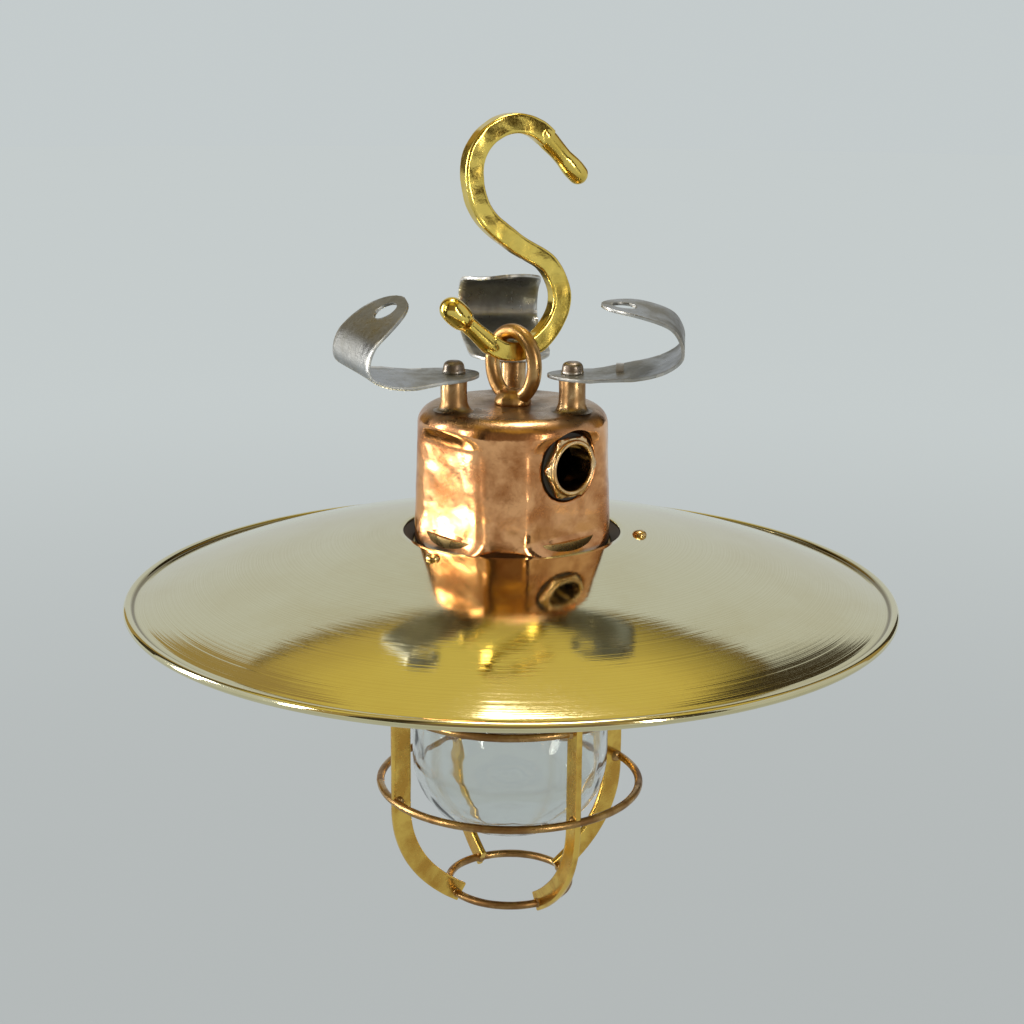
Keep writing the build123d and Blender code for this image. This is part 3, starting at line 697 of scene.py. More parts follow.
def housingProfile():
    low = [(body["skirt"], body["bottom"]), (47.2, body["bottom"]), (47.8, 27.3), (body["radius"], 28.0)]
    rise = [(body["radius"], 30.0 + 2.0 * step) for step in range(5)]
    slope = (body["radius"] - body["topRadius"]) / (body["top"] - 38.0)
    side = [(body["radius"] - slope * (z - 38.0), z) for z in [38 + 1.6 * step for step in range(1, 31)]]
    centre = (body["topRadius"] - body["shoulder"] + 0.3, body["top"] - body["shoulder"])
    corner = arcPoints(centre, body["shoulder"], 3, 90, 12)
    roof = [(r, body["top"]) for r in (31.0, 24.0, 17.0, 10.0, 4.1)]
    inside = [(4.1, body["cavityTop"]), (20.0, body["cavityTop"]), (34.5, body["cavityTop"])]
    inside += [(body["cavity"], z) for z in (body["cavityTop"] - 2.0, 60.0, body["skirtTop"])]
    inside += [(body["skirt"], body["skirtTop"]), (body["skirt"], body["bottom"])]
    return scaled(low + rise + side + corner + roof + inside)


def makeHousing():
    material = copperFinish()
    made = turned("housing_casting", housingProfile(), material, segments=176, rule={
        "Flat Count": 4.0, "Flat Distance": body["flat"] * mm, "Flat Turn": math.radians(glandAzimuth - 90),
        "Flat Bottom": above(body["flatBottom"]), "Flat Top": above(body["flatTop"]), "Flat Blend": 0.0048,
        "Waviness": 0.0009, "Wave Scale": 45.0})
    outline = [(0, 0.0), (gland["barrel"] + 0.1, 0.0), (gland["barrel"] + 0.1, gland["seat"] - 2.0)]
    outline += [(gland["recess"] - 0.5, gland["seat"] - 2.0), (gland["recess"], gland["seat"] - 1.6)]
    outline += [(gland["recess"] + 0.1, gland["seat"] - 0.7), (gland["recess"] + 1.4, gland["seat"] + 0.3)]
    outline += [(gland["recess"] + 2.2, gland["seat"] + 8.0), (0, gland["seat"] + 8.0)]
    bore = turned("glandBore", [(r * mm, z * mm) for r, z in outline], material, segments=72)
    moved(bore, facing(Vector((0, 0, above(gland["height"]))), glandAxis))
    tidyMesh(cutWith(made, bore), sharpAngle=55)
    finishPiece(made, "lantern", "copper", material, "housing")


makeHousing()


# cable gland: round-edged hexagonal head with an open bore
def glandFinish():
    return metalFinish("worn gland brass", {
        "Clean": rgb(0.86, 0.60, 0.32), "Aged": rgb(0.60, 0.36, 0.16), "Dirt And Shade": rgb(0.12, 0.065, 0.025),
        "Patch Size": 110.0, "Aged Amount": 0.45, "Dirt Amount": 0.2, "Smooth": 0.2, "Dull": 0.34,
        "Seed": 11.0}, wear=0.6, shadeAndGrime=0.8)


def makeGland():
    material = glandFinish()
    front, bore = gland["front"], gland["bore"]
    outline = [(bore, gland["inner"]), (gland["barrel"], gland["inner"]), (gland["barrel"], gland["seat"])]
    corner, seat = gland["corner"], gland["seat"]
    outline += [(corner - 0.6, seat), (corner, seat + 0.5), (corner, seat + 1.9), (corner - 0.3, seat + 2.3)]
    outline += [(corner - 2.0, seat + 2.9), (13.5, seat + 3.0)]
    outline += arcPoints((13.35 - 1.15, front - 1.15), 1.15, 0, 180, 10)
    outline += [(bore, front - 1.6), (bore, gland["inner"])]
    profile = [(r * mm, z * mm) for r, z in outline]
    made = turned("gland_head", profile, material, segments=144, rule={
        "Flat Count": 6.0, "Flat Distance": gland["flats"] * mm, "Flat Turn": math.radians(30),
        "Flat Bottom": 0.0, "Flat Top": 1.0, "Flat Blend": 0.0004}, sharpAngle=60)
    moved(made, facing(Vector((0, 0, above(gland["height"]))), glandAxis))
    finishPiece(made, "lantern", "gland_brass", material, "gland_body")


makeGland()


# three posts cast in copper, with a fillet of solder at the foot
def postFinish():
    made, tree, shader = newMaterial("brown post copper")
    look = {"Clean": rgb(0.60, 0.39, 0.19), "Aged": rgb(0.34, 0.19, 0.08), "Dirt And Shade": rgb(0.08, 0.05, 0.03),
            "Patch Size": 120.0, "Aged Amount": 0.6, "Dirt Amount": 0.45, "Smooth": 0.24, "Dull": 0.4,
            "Seed": 14.0}
    aged = useGroup(tree, agedGroup, look)
    place = objectPlace(tree)
    height = heightOf(tree, place)
    ragged = noiseOn(tree, place, 200.0, 3.0)
    level = plus(tree, height, times(tree, minus(tree, ragged, 0.5), 0.003))
    solder = ramp(tree, level, above(97.2), above(96.2))
    color = blended(tree, times(tree, solder, 0.75), aged["Color"], rgb(0.34, 0.30, 0.24))
    connect(tree, shader, color, aged["Roughness"], aged["Height"], 0.00015)
    return made


def makePosts():
    material = postFinish()
    r, top = posts["radius"], posts["top"]
    outline = [(0, 95.02), (r + 3.4, 95.02), (r + 2.0, 95.5), (r + 1.1, 96.3), (r + 0.45, 97.5), (r, 99.0)]
    outline += [(r - 0.15, 103.0), (r - 0.1, top - 0.9), (r - 0.35, top - 0.3), (r - 0.9, top), (0, top)]
    post = turned("post", scaled(outline), material, segments=48,
                  rule={"Waviness": 0.0008, "Wave Scale": 170.0})
    moved(post, Matrix.Translation((posts["circle"] * mm, 0, 0)))
    made = copiesRound("posts", post, 3, posts["first"], material)
    finishPiece(made, "lantern", "post_copper", material, "post_left", "post_right", "post_back")


makePosts()


# domed rivets that the strap feet turn on
def rivetFinish():
    return metalFinish("dark rivet steel", {
        "Clean": rgb(0.34, 0.29, 0.24), "Aged": rgb(0.17, 0.13, 0.10), "Dirt And Shade": rgb(0.05, 0.04, 0.03),
        "Patch Size": 130.0, "Aged Amount": 0.6, "Dirt Amount": 0.35, "Smooth": 0.3, "Dull": 0.5,
        "Seed": 17.0}, wear=0.9, shadeAndGrime=0.7, edgeColor=rgb(0.62, 0.58, 0.52))


def makeRivets(material):
    low = posts["top"] + 1.6
    outline = [(0, low - 6.0), (2.95, low - 6.0), (2.95, low), (5.3, low), (5.48, low + 0.4)]
    outline += [(5.48, low + 1.3), (5.1, low + 1.7), (5.1, low + 2.8)]
    outline += arcPoints((2.2, low + 3.0), 2.8, 0, 80, 8) + [(0, low + 5.9)]
    rivet = turned("rivet", scaled(outline), material, segments=48,
                   rule={"Waviness": 0.0006, "Wave Scale": 170.0})
    moved(rivet, Matrix.Translation((posts["circle"] * mm, 0, 0)))
    made = copiesRound("rivets", rivet, 3, posts["first"], material, seed=4)
    finishPiece(made, "lantern", "rivet_steel", material, "rivet_left", "rivet_right", "rivet_back")


rivetSteel = rivetFinish()
makeRivets(rivetSteel)


# strap feet: bent steel strip with long rounded ends
straps = {
    "left": {"post": -60.0, "azimuth": -61.0, "width": 39.0, "warp": 0.0006, "twist": -0.09,
             "line": [(-12, 0.75), (9, 0.75), (50, 1.5), (55.5, 17), (41, 30), (26, 39)]},
    "right": {"post": 60.0, "azimuth": 85.0, "width": 34.0, "warp": 0.0006, "twist": 0.09,
              "line": [(-12, 0.75), (9, 0.75), (51, 6.5), (53, 24), (38, 33), (13, 35)]},
    "back": {"post": 180.0, "azimuth": -171.0, "width": 42.0, "warp": 0.0022, "twist": 0.0,
             "line": [(-12, 0.75), (9, 0.75), (51, 8), (57, 22), (44, 36), (22, 39)]},
}
strapSheet = 1.5
holeRadius = mounts["foot_hole_left"]["dims"]["r_mm"]


def strapFinish():
    made, tree, shader = newMaterial("weathered strap steel")
    look = {"Clean": rgb(0.36, 0.365, 0.36), "Aged": rgb(0.20, 0.20, 0.185), "Dirt And Shade": rgb(0.07, 0.058, 0.045),
            "Patch Size": 42.0, "Aged Amount": 0.55, "Dirt Amount": 0.3, "Smooth": 0.3, "Dull": 0.5,
            "Seed": 21.0}
    aged = useGroup(tree, agedGroup, look)
    edges = useGroup(tree, edgeGroup, {"Wear": 0.9, "Shade And Grime": 0.5})
    place = objectPlace(tree)
    stretched = addNode(tree, "ShaderNodeMapping", {"Vector": place, "Scale": (1.0, 1.0, 0.15)}).outputs[0]
    rubs = noiseOn(tree, stretched, 420.0, 4.0)
    color = blended(tree, edges["Edge"], aged["Color"], rgb(0.62, 0.61, 0.58))
    rough = plus(tree, aged["Roughness"], times(tree, minus(tree, rubs, 0.5), 0.2))
    relief = plus(tree, aged["Height"], times(tree, rubs, 0.25))
    connect(tree, shader, color, rough, relief, 0.00016)
    return made


# corners cut again and again, which bends the sheet in one smooth sweep
def bentLine(corners, gap):
    line = [Vector(corner) for corner in corners]
    for cut in range(4):
        share = 0.3 if cut == 0 else 0.25
        cutLine = [line[0]]
        for a, b in zip(line[1:], line[2:]):
            cutLine += [a.lerp(b, share), b.lerp(a, share)] if a != line[1] else [a, b.lerp(a, share)]
        cutLine.append(line[-1])
        line = cutLine
    return evenLine(line, gap)


def evenLine(line, gap):
    lengths = [0.0]
    for a, b in zip(line, line[1:]):
        lengths.append(lengths[-1] + (b - a).length)
    count = max(2, round(lengths[-1] / gap))
    found, piece = [], 0
    for step in range(count + 1):
        along = lengths[-1] * step / count
        while piece < len(lengths) - 2 and lengths[piece + 1] < along:
            piece += 1
        span = lengths[piece + 1] - lengths[piece]
        found.append(line[piece].lerp(line[piece + 1], (along - lengths[piece]) / max(span, 1e-9)))
    return found


# half width of the strip, rounded at both ends like half an ellipse
def stripHalfWidth(along, total, half):
    inner, outer = 30.0, 24.0
    near = min(1.0, max(0.0, along / inner))
    far = min(1.0, max(0.0, (total - along) / outer))
    return half * min(math.sqrt(1 - (1 - near) ** 2), math.sqrt(1 - (1 - far) ** 2))


def makeStrap(name, material):
    strap = straps[name]
    line = bentLine(strap["line"], 1.1)
    total = sum((b - a).length for a, b in zip(line, line[1:]))
    columns, along, points, faces = 20, 0.0, [], []
    spin = Matrix.Rotation(math.radians(strap["azimuth"] - 90), 4, "Z")
    foot = heading(strap["post"]) * posts["circle"] * mm + Vector((0, 0, above(posts["top"])))
    for row, point in enumerate(line):
        if row:
            along += (point - line[row - 1]).length
        eased = along + (0.08 if row == 0 else -0.08 if row == len(line) - 1 else 0)
        half = stripHalfWidth(eased, total, strap["width"] / 2)
        for column in range(columns + 1):
            side = half * (2 * column / columns - 1)
            local = Vector((point.x, side, point.y)) * mm
            wobble = noise.noise(local * 38 + Vector((0, 0, len(name)))) * strap["warp"]
            clear = min(1.0, max(0.0, along - 26) / 15)   # stays flat where it lies on its post
            local.z += (wobble + strap["twist"] * side * mm) * clear
            points.append(spin @ local + foot)
    for row in range(len(line) - 1):
        for column in range(columns):
            a = row * (columns + 1) + column
            faces.append((a, a + 1, a + columns + 2, a + columns + 1))
    made = meshObject("foot_" + name + "_strap", points, faces)
    solid = made.modifiers.new("sheet", "SOLIDIFY")
    solid.thickness = strapSheet * mm
    solid.offset = 0
    solid.use_even_offset = True
    applyAll(made)
    mount = mounts["foot_hole_" + name]
    drill = [(0, -6), (holeRadius, -6), (holeRadius, 6), (0, 6)]
    hole = turned("drill", [(r * mm, z * mm) for r, z in drill], material, segments=48)
    moved(hole, facing(Vector(mount["pos_m"]), Vector(mount["axis"])))
    cutWith(made, hole)
    pin = [(0, -4), (3.08, -4), (3.08, 4), (0, 4)]
    pivot = turned("pivot", [(r * mm, z * mm) for r, z in pin], material, segments=32)
    moved(pivot, Matrix.Translation(foot))
    cutWith(made, pivot)
    soften = made.modifiers.new("soften", "BEVEL")
    soften.width = 0.00035
    soften.segments = 2
    soften.limit_method = "ANGLE"
    soften.angle_limit = math.radians(50)
    tidyMesh(applyAll(made), sharpAngle=60)
    finishPiece(made, "foot_" + name, "weathered_steel", material, "foot_" + name)


strapSteel = strapFinish()
for strapName in straps:
    makeStrap(strapName, strapSteel)


# shade: spun dome with its edge rolled over a wire
shade = {"hole": 53.5, "edge": 184.8, "rise": 32.3, "sheet": 1.2, "beadAt": 187.7, "bead": 2.3}


def shadeFinish():
    made, tree, shader = newMaterial("spun shade brass")
    look = {"Clean": rgb(0.84, 0.78, 0.51), "Aged": rgb(0.78, 0.70, 0.42), "Dirt And Shade": rgb(0.45, 0.33, 0.10),
            "Patch Size": 9.0, "Aged Amount": 0.5, "Dirt Amount": 0.0, "Smooth": 0.075, "Dull": 0.11,
            "Seed": 25.0}
    aged = useGroup(tree, agedGroup, look)
    lines = useGroup(tree, spunGroup, {"Lines": 520.0, "Deep From": 0.07, "Deep To": 0.15, "Least": 0.12})
    place = objectPlace(tree)
    swell = noiseOn(tree, place, 16.0, 1.0)
    relief = plus(tree, lines["Height"], times(tree, swell, 12.0))
    rough = plus(tree, aged["Roughness"], times(tree, lines["Streaks"], 0.05))
    rough = calc(tree, "MAXIMUM", minus(tree, rough, 0.03), 0.04)
    # grey film in the turning lines, and painted shadow in the groove inside the bead
    lineTint = ramp(tree, lines["Streaks"], 0.35, 0.7, 0.0, 0.3)
    color = blended(tree, lineTint, aged["Color"], rgb(0.60, 0.50, 0.24))
    radius = outFromAxis(tree, place)
    off = calc(tree, "ABSOLUTE", minus(tree, radius, 0.1854))
    grooveShadow = ramp(tree, off, 0.0013, 0.0003)
    color = blended(tree, times(tree, grooveShadow, 0.85), color, rgb(0.16, 0.11, 0.03))
    connect(tree, shader, color, rough, relief, 0.000026)
    return made


def shadeProfile():
    hole, edge, rise = shade["hole"], shade["edge"], shade["rise"]
    centre = (edge ** 2 - hole ** 2 - rise ** 2) / (2 * rise)
    sphere = math.hypot(edge, centre)
    radii = [hole + 0.4 + (edge - hole - 0.4) * step / 50 for step in range(51)]
    top = [(r, math.sqrt(sphere ** 2 - r ** 2) - centre) for r in radii]
    lip = [(hole, top[0][1] - 0.35), (hole, top[0][1] - shade["sheet"] + 0.3)]
    bead = arcPoints((shade["beadAt"], -shade["sheet"] / 2), shade["bead"], 165, -165, 26)
    under = [(r, z - shade["sheet"]) for r, z in reversed(top)]
    return scaled(top + bead + under + lip[::-1] + [top[0]])


def makeShade():
    material = shadeFinish()
    made = turned("shade_dome", shadeProfile(), material, segments=288)
    finishPiece(made, "lantern", "shade_brass", material, "shade", "shade_rim_wire")


makeShade()


# slotted round heads that hold the shade to the flange
shadeScrews = {"circle": 63.0, "first": 85.0, "head": 3.6, "seat": 30.95, "height": 2.6}


def makeShadeScrews():
    material = metalFinish("worn screw brass", {
        "Clean": rgb(0.78, 0.56, 0.26), "Aged": rgb(0.50, 0.31, 0.12), "Dirt And Shade": rgb(0.09, 0.05, 0.02),
        "Patch Size": 260.0, "Aged Amount": 0.5, "Dirt Amount": 0.3, "Smooth": 0.2, "Dull": 0.4,
        "Seed": 28.0}, wear=0.6, shadeAndGrime=0.8)
    low, high, r = shadeScrews["seat"], shadeScrews["seat"] + shadeScrews["height"], shadeScrews["head"]
    outline = [(0, 22.2), (1.85, 22.2), (1.85, low), (r - 0.15, low), (r, low + 0.3), (r - 0.1, low + 0.9)]
    outline += [(r * 0.78, high - 0.55), (r * 0.45, high - 0.12), (0, high)]
    screw = turned("screw", scaled(outline), material, segments=40)
    slotHalf, slotDepth = 0.45 * mm, 1.1 * mm
    corners = [(x, y, z) for x in (-5 * mm, 5 * mm) for y in (-slotHalf, slotHalf)
               for z in (above(high) - slotDepth, above(high) + slotDepth)]
    sides = [(0, 1, 3, 2), (4, 6, 7, 5), (0, 4, 5, 1), (2, 3, 7, 6), (0, 2, 6, 4), (1, 5, 7, 3)]
    slotBlade = moved(meshObject("slotBlade", corners, sides), Matrix.Rotation(math.radians(35), 4, "Z"))
    cutWith(screw, slotBlade)
    moved(screw, Matrix.Translation((shadeScrews["circle"] * mm, 0, 0)))
    made = copiesRound("shade_screw_heads", screw, 3, shadeScrews["first"], material, turnPlay=1.0)
    finishPiece(made, "lantern", "screw_brass", material, "shade_screws")


makeShadeScrews()


# glass globe: straight sides, rounded end, pressed lip
globe = {"radius": 49.6, "wall": 3.2, "lip": 56.0, "top": 20.0, "bottom": -123.5, "corner": 38.0}


def glassFinish():
    made, tree, shader = newMaterial("clear pressed glass", metallic=0.0)
    shader.inputs["Transmission Weight"].default_value = 1.0
    shader.inputs["IOR"].default_value = 1.5
    place = objectPlace(tree)
    cloud = noiseOn(tree, place, 35.0, 5.0)
    film = ramp(tree, cloud, 0.4, 0.75, 0.0, 0.09)
    color = blended(tree, film, rgb(0.90, 0.92, 0.905), rgb(0.70, 0.70, 0.64))
    ripple = noiseOn(tree, place, 60.0, 1.0)
    connect(tree, shader, color, film, ripple, 0.0006)
    return made


def makeGlobe():
    material = glassFinish()
    r, wall, corner, bottom = globe["radius"], globe["wall"], globe["corner"], globe["bottom"]
    hub = (r - corner, bottom + corner)
    outline = [(r - wall, 19.4), (r - wall + 0.6, globe["top"]), (55.2, globe["top"]), (globe["lip"], 19.2)]
    outline += [(globe["lip"], 16.8), (55.3, 16.0), (51.2, 16.0), (50.2, 15.4), (r, 14.0)]
    outline += [(r, 14.0 - 10.0 * step) for step in range(1, 10)]
    outline += arcPoints(hub, corner, 0, -90, 18) + [(0, bottom), (0, bottom + wall)]
    outline += arcPoints(hub, corner - wall, -90, 0, 18)
    outline += [(r - wall, -80.0 + 10.0 * step) for step in range(10)] + [(r - wall, 19.4)]
    made = turned("glass_globe_blown", scaled(outline), material, segments=128,
                  rule={"Waviness": 0.0003, "Wave Scale": 28.0})
    finishPiece(made, "globe", "clear_glass", material, "glass_globe")


makeGlobe()


# guard: screwed collar, four flat bars on edge, three wire rings and their solder
guard = {"collar": 57.1, "bore": 52.6, "top": 16.0, "bottom": -18.0, "outer": 67.1, "depth": 10.0,
         "thick": 3.0, "barTop": -1.0, "bend": -104.0, "wire": 2.0, "first": 30.0}
rings = {"top": (60.0, -55.0), "middle": (65.9, -99.5), "bottom": (31.1, -156.0)}


def barFinish():
    return metalFinish("polished guard brass", {
        "Clean": rgb(0.88, 0.59, 0.13), "Aged": rgb(0.58, 0.32, 0.06), "Dirt And Shade": rgb(0.15, 0.07, 0.015),
        "Patch Size": 50.0, "Aged Amount": 0.5, "Dirt Amount": 0.3, "Smooth": 0.15, "Dull": 0.3,
        "Seed": 31.0}, wear=0.6, shadeAndGrime=0.8)


def ringFinish():
    return metalFinish("brown drawn wire", {
        "Clean": rgb(0.50, 0.31, 0.12), "Aged": rgb(0.27, 0.14, 0.05), "Dirt And Shade": rgb(0.05, 0.03, 0.015),
        "Patch Size": 70.0, "Aged Amount": 0.6, "Dirt Amount": 0.35, "Smooth": 0.22, "Dull": 0.45,
        "Seed": 34.0}, wear=0.5, shadeAndGrime=0.7)


def makeCollar(material):
    r, bore, low, high = guard["collar"], guard["bore"], guard["bottom"], guard["top"]
    outline = [(bore, low + 0.6), (bore + 0.6, low), (r - 0.7, low), (r, low + 0.7), (r, low + 3.4)]
    outline += [(r - 0.5, low + 3.8), (r - 0.5, low + 4.4), (r, low + 4.8), (r, 1.5), (r - 0.8, 2.4)]
    turns, pitch = 8, 1.5
    for turn in range(turns):
        start = 3.0 + pitch * turn
        outline += [(r - 0.8, start), (r - 0.05, start + pitch * 0.45), (r - 0.05, start + pitch * 0.6)]
    outline += [(r - 0.8, high - 0.6), (r - 1.4, high), (bore + 0.5, high), (bore, high - 0.5)]
    outline += [(bore, low + 0.6)]
    made = turned("guard_collar_threaded", scaled(outline), material, segments=144, sharpAngle=55)
    finishPiece(made, "guard", "guard_brass", material, "guard_collar")


def makeBars(material):
    middle = guard["outer"] - guard["depth"] / 2
    straight = [(middle, guard["barTop"] - 6.0 * step) for step in range(18)]
    begin, out, back, end = (middle, guard["bend"]), (middle, -124.0), (52.0, -142.0), (28.6, -156.2)
    curve = []
    for step in range(25):
        t = step / 24
        weights = ((1 - t) ** 3, 3 * t * (1 - t) ** 2, 3 * t * t * (1 - t), t ** 3)
        corners = (begin, out, back, end)
        curve.append(tuple(sum(w * c[axis] for w, c in zip(weights, corners)) for axis in (0, 1)))
    points = [Vector((r * mm, 0, above(z))) for r, z in straight[:-1] + curve]
    size = (guard["depth"] * mm, guard["thick"] * mm, 0.7 * mm)
    bar = swept("bar", points, size, Vector((0, 1, 0)), material,
                rule={"Hammer Depth": 0.0004, "Hammer Scale": 90.0})
    made = copiesRound("guard_bars", bar, 4, guard["first"], material)
    names = ["guard_bar_" + str(number) for number in range(1, 5)]
    finishPiece(made, "guard", "guard_brass", material, *names)


def makeRings(material):
    parts = []
    for name, (radius, height) in rings.items():
        points = []
        for step in range(96):
            a = math.radians(3.75 * step)
            bow = noise.noise(Vector((math.cos(a), math.sin(a), height))) * 0.5
            points.append((math.cos(a) * (radius + bow) * mm, math.sin(a) * (radius + bow) * mm,
                           above(height + bow * 0.5)))
        size = (guard["wire"] * 2 * mm, guard["wire"] * 2 * mm, guard["wire"] * 0.999 * mm)
        parts.append(swept(name + "Ring", points, size, Vector((0, 0, 1)), material, closed=True,
                           rule={"Hammer Depth": 0.0002, "Hammer Scale": 200.0}))
    made = joined("guard_rings", parts)
    nodes = ["guard_ring_" + name for name in rings]
    finishPiece(made, "guard", "ring_bronze", material, *nodes)


# a lump of solder where each bar crosses a ring
def makeSolder(material):
    lumps = []
    for name, (radius, height) in rings.items():
        outline = arcPoints((0, 0), 1.0, -90, 90, 12)
        wide, tall = (3.1, 3.4) if name != "bottom" else (2.8, 3.0)
        profile = [(max(r, 0) * wide * mm, z * tall * mm) for r, z in outline]
        lump = turned(name + "Lump", profile, material, segments=24,
                      rule={"Waviness": 0.0012, "Wave Scale": 240.0})
        inward = radius if name != "middle" else radius - 2.0
        lumps.append(moved(lump, Matrix.Translation((inward * mm, 0, above(height)))))
    made = copiesRound("guard_solder", joined("lumps", lumps), 4, guard["first"], material, turnPlay=0.5)
    finishPiece(made, "guard", "ring_bronze", material)


barBrass = barFinish()
wireBronze = ringFinish()
makeCollar(barBrass)
makeBars(barBrass)
makeRings(wireBronze)
makeSolder(wireBronze)


# pieces that keep their own meshes
def rubberFinish():
    made, tree, shader = newMaterial("matt black rubber", metallic=0.0)
    place = objectPlace(tree)
    bloom = noiseOn(tree, place, 90.0, 5.0)
    color = blended(tree, bloom, rgb(0.012, 0.012, 0.012), rgb(0.05, 0.048, 0.045))
    rough = ramp(tree, bloom, first=0.55, last=0.85)
    pores = noiseOn(tree, place, 1400.0, 3.0)
    connect(tree, shader, color, rough, pores, 0.00006)
    return made


def porcelainFinish():
    made, tree, shader = newMaterial("glazed porcelain", metallic=0.0)
    shader.inputs["Coat Weight"].default_value = 0.6
    place = objectPlace(tree)
    cloud = noiseOn(tree, place, 60.0, 4.0)
    specks = addNode(tree, "ShaderNodeTexVoronoi", {"Vector": place, "Scale": 420.0}).outputs["Distance"]
    dots = ramp(tree, specks, 0.08, 0.04)
    color = blended(tree, cloud, rgb(0.86, 0.85, 0.80), rgb(0.72, 0.69, 0.61))
    color = blended(tree, times(tree, dots, 0.5), color, rgb(0.20, 0.14, 0.09))
    rough = ramp(tree, cloud, first=0.1, last=0.28)
    connect(tree, shader, color, rough, cloud, 0.0001)
    return made


def flangeFinish():
    made, tree, shader = newMaterial("turned fitting brass")
    look = {"Clean": rgb(0.72, 0.53, 0.23), "Aged": rgb(0.44, 0.30, 0.12), "Dirt And Shade": rgb(0.10, 0.065, 0.03),
            "Patch Size": 50.0, "Aged Amount": 0.5, "Dirt Amount": 0.3, "Smooth": 0.24, "Dull": 0.42,
            "Seed": 37.0}
    aged = useGroup(tree, agedGroup, look)
    lines = useGroup(tree, spunGroup, {"Lines": 900.0, "Deep From": 0.0, "Deep To": 0.01, "Least": 1.0})
    relief = plus(tree, aged["Height"], lines["Height"])
    connect(tree, shader, aged["Color"], aged["Roughness"], relief, 0.00006)
    return made


plated = metalFinish("dulled zinc plate", {
    "Clean": rgb(0.66, 0.67, 0.68), "Aged": rgb(0.48, 0.48, 0.46), "Dirt And Shade": rgb(0.20, 0.15, 0.10),
    "Patch Size": 90.0, "Aged Amount": 0.5, "Dirt Amount": 0.25, "Smooth": 0.25, "Dull": 0.42, "Seed": 40.0})
pressed = metalFinish("pressed contact brass", {
    "Clean": rgb(0.82, 0.66, 0.30), "Aged": rgb(0.60, 0.44, 0.18), "Dirt And Shade": rgb(0.16, 0.10, 0.05),
    "Patch Size": 120.0, "Aged Amount": 0.4, "Dirt Amount": 0.2, "Smooth": 0.2, "Dull": 0.34, "Seed": 43.0})
fitting = flangeFinish()
rubber = rubberFinish()
kept = {
    fitting: ["base_flange", "eye_washer", "eye_nut", "gland_locknut"],
    rubber: ["gland_washer", "shade_gasket", "glass_seal"],
    plated: ["holder_bridge", "holder_screws"],
    porcelainFinish(): ["lampholder_body"],
    pressed: ["lampholder_shell", "centre_contact", "terminal_screws", "earth_screw"],
    rivetSteel: ["strap_stub"],
}
for material, nodes in kept.items():
    for node in nodes:
        mesh = frame["nodes"][node].data
        mesh.materials.clear()
        mesh.materials.append(material)
print("kept pieces finished")


# studio: pale walls, warm above, dark in the corners, over a wide pale floor
def makeSurroundings():
    world = bpy.data.worlds.new("studio")
    bpy.context.scene.world = world
    world.use_nodes = True
    tree = world.node_tree
    tree.nodes.clear()
    aim = addNode(tree, "ShaderNodeTexCoord").outputs["Generated"]
    parts = addNode(tree, "ShaderNodeSeparateXYZ", {0: aim}).outputs
    degree = 180 / math.pi
    rise = times(tree, calc(tree, "ARCSINE", parts[2]), degree)
    around = times(tree, calc(tree, "ARCTAN2", parts[0], parts[1]), degree)
    across = calc(tree, "WRAP", around, 45.0, -45.0)
    aside = calc(tree, "ABSOLUTE", across)
    arched = plus(tree, rise, times(tree, calc(tree, "POWER", calc(tree, "DIVIDE", aside, 28.0), 2.0), 2.0))
    inside = ramp(tree, aside, 28.6, 27.6)
    lower = ramp(tree, arched, 41.5, 40.5)
    wall = times(tree, inside, lower)
    line = times(tree, ramp(tree, arched, 43.4, 42.6), ramp(tree, arched, 41.0, 41.6))
    leftRight = ramp(tree, across, -10.0, 18.0)
    corner = blended(tree, leftRight, rgb(0.34, 0.25, 0.09), rgb(0.045, 0.035, 0.02))
    warm = rgb(0.62, 0.50, 0.13)
    overhead = ramp(tree, rise, 38.0, 50.0)
    beyond = blended(tree, overhead, corner, warm)
    overWall = blended(tree, inside, corner, beyond)
    overWall = blended(tree, times(tree, line, inside), overWall, rgb(0.16, 0.11, 0.03))
    front = ramp(tree, parts[1], -0.45, -0.6)
    pale = blended(tree, front, rgb(0.55, 0.58, 0.60), rgb(0.19, 0.145, 0.095))
    seen = blended(tree, wall, overWall, pale)
    top = ramp(tree, rise, 62.0, 75.0)
    seen = blended(tree, top, seen, rgb(0.50, 0.44, 0.32))
    mirrored = addNode(tree, "ShaderNodeBackground", {0: seen, 1: 1.0}).outputs[0]
    plain = addNode(tree, "ShaderNodeBackground", {0: rgb(0.555, 0.60, 0.605), 1: 1.0}).outputs[0]
    direct = addNode(tree, "ShaderNodeLightPath").outputs["Is Camera Ray"]
    mixed = addNode(tree, "ShaderNodeMixShader", {0: direct, 1: mirrored, 2: plain}).outputs[0]
    addNode(tree, "ShaderNodeOutputWorld", {0: mixed})


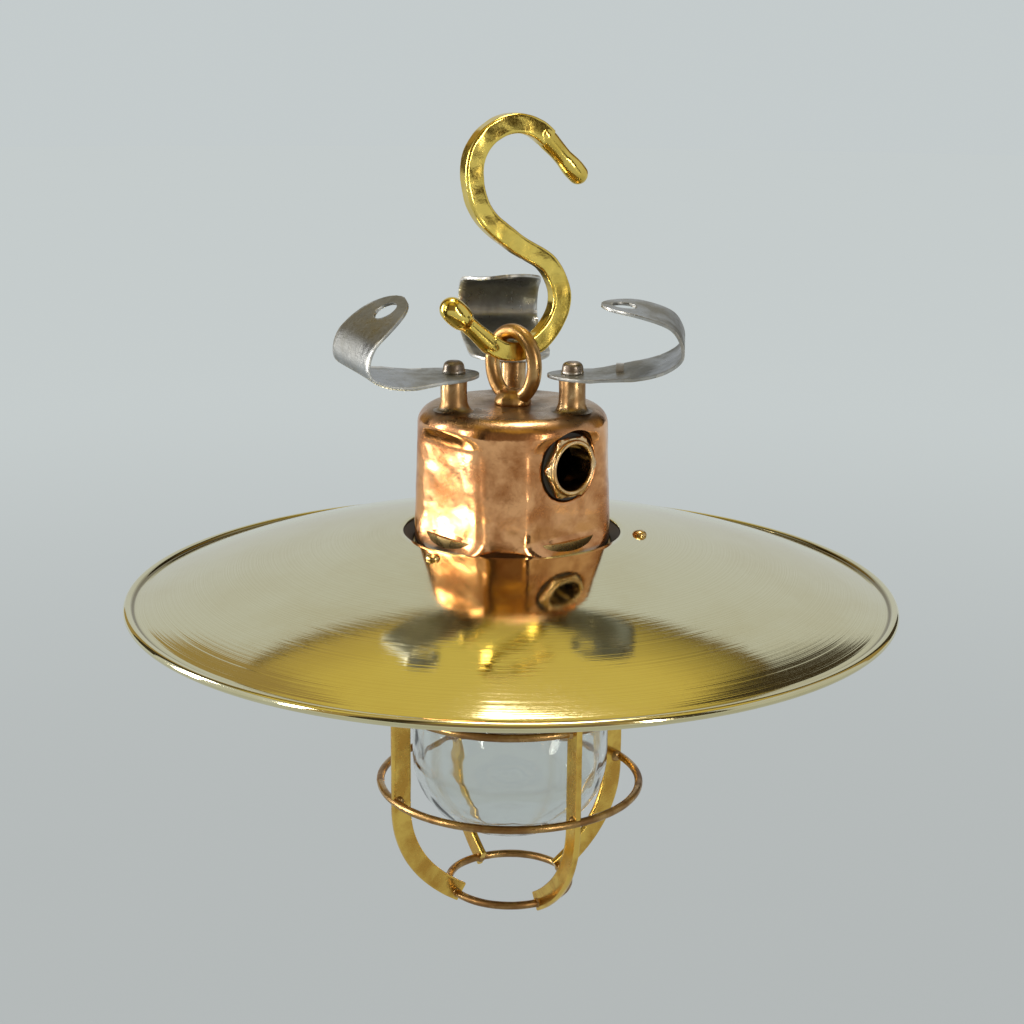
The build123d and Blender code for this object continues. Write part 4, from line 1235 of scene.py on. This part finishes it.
def makeFloor():
    points = [(0, 0, -0.75)] + [(12 * math.cos(a), 12 * math.sin(a), -0.75)
                                for a in [2 * math.pi * step / 64 for step in range(64)]]
    faces = [(0, step + 1, (step + 1) % 64 + 1) for step in range(64)]
    made = meshObject("floor", points, faces)
    material, tree, shader = newMaterial("pale floor", metallic=0.0)
    place = objectPlace(tree)
    cloud = noiseOn(tree, place, 2.0, 3.0)
    away = addNode(tree, "ShaderNodeVectorMath", {0: place}, operation="LENGTH").outputs[1]
    # the floor's glow is painted light, dimmer near the middle
    fade = ramp(tree, away, 0.8, 3.5, kind="SMOOTHSTEP")
    glow = blended(tree, fade, rgb(0.42, 0.45, 0.455), rgb(0.545, 0.59, 0.595))
    rough = ramp(tree, cloud, first=0.85, last=0.95)
    color = blended(tree, cloud, rgb(0.04, 0.042, 0.042), rgb(0.03, 0.032, 0.032))
    connect(tree, shader, color, rough, cloud, 0.0002)
    tree.links.new(glow, shader.inputs["Emission Color"])
    shader.inputs["Emission Strength"].default_value = 1.0
    shader.inputs["Specular IOR Level"].default_value = 0.0
    made.data.materials.append(material)


def softbox(name, azimuth, rise, distance, width, height, power, tint):
    data = bpy.data.lights.new(name, "AREA")
    data.shape = "RECTANGLE"
    data.size = width
    data.size_y = height
    data.energy = power
    data.color = tint
    lamp = bpy.data.objects.new(name, data)
    middle = Vector((0, 0, above(60)))
    tilt = math.radians(rise)
    outward = heading(azimuth) * distance * math.cos(tilt)
    lamp.location = middle + outward + Vector((0, 0, distance * math.sin(tilt)))
    lamp.rotation_euler = (middle - lamp.location).to_track_quat("-Z", "Y").to_euler()
    lamp.visible_camera = False
    bpy.context.scene.collection.objects.link(lamp)


makeSurroundings()
makeFloor()
softbox("left window", -98, 8, 2.2, 0.42, 1.5, 33, (1.0, 0.98, 0.95))
softbox("left front window", -60, 12, 2.4, 0.25, 1.3, 16, (1.0, 0.97, 0.92))
softbox("right front window", 38, 10, 2.4, 0.18, 1.3, 12, (1.0, 0.97, 0.92))
softbox("overhead", 160, 78, 2.4, 0.9, 0.9, 30, (1.0, 0.93, 0.82))


# camera, level with the top of the hook and looking down a little
def makeCamera():
    view = {"back": 0.90914, "height": 0.06883, "pitch": 14.49, "roll": -0.5, "yaw": 0.0, "lens": 66.9}
    data = bpy.data.cameras.new("camera")
    data.lens = view["lens"]
    data.sensor_width = 36
    made = bpy.data.objects.new("camera", data)
    bpy.context.scene.collection.objects.link(made)
    turn = Matrix.Rotation(math.radians(view["yaw"]), 4, "Z")
    tilt = Matrix.Rotation(math.radians(90 - view["pitch"]), 4, "X")
    roll = Matrix.Rotation(math.radians(-view["roll"]), 4, "Z")
    made.matrix_world = Matrix.Translation((0, -view["back"], view["height"])) @ turn @ tilt @ roll
    bpy.context.scene.camera = made


makeCamera()
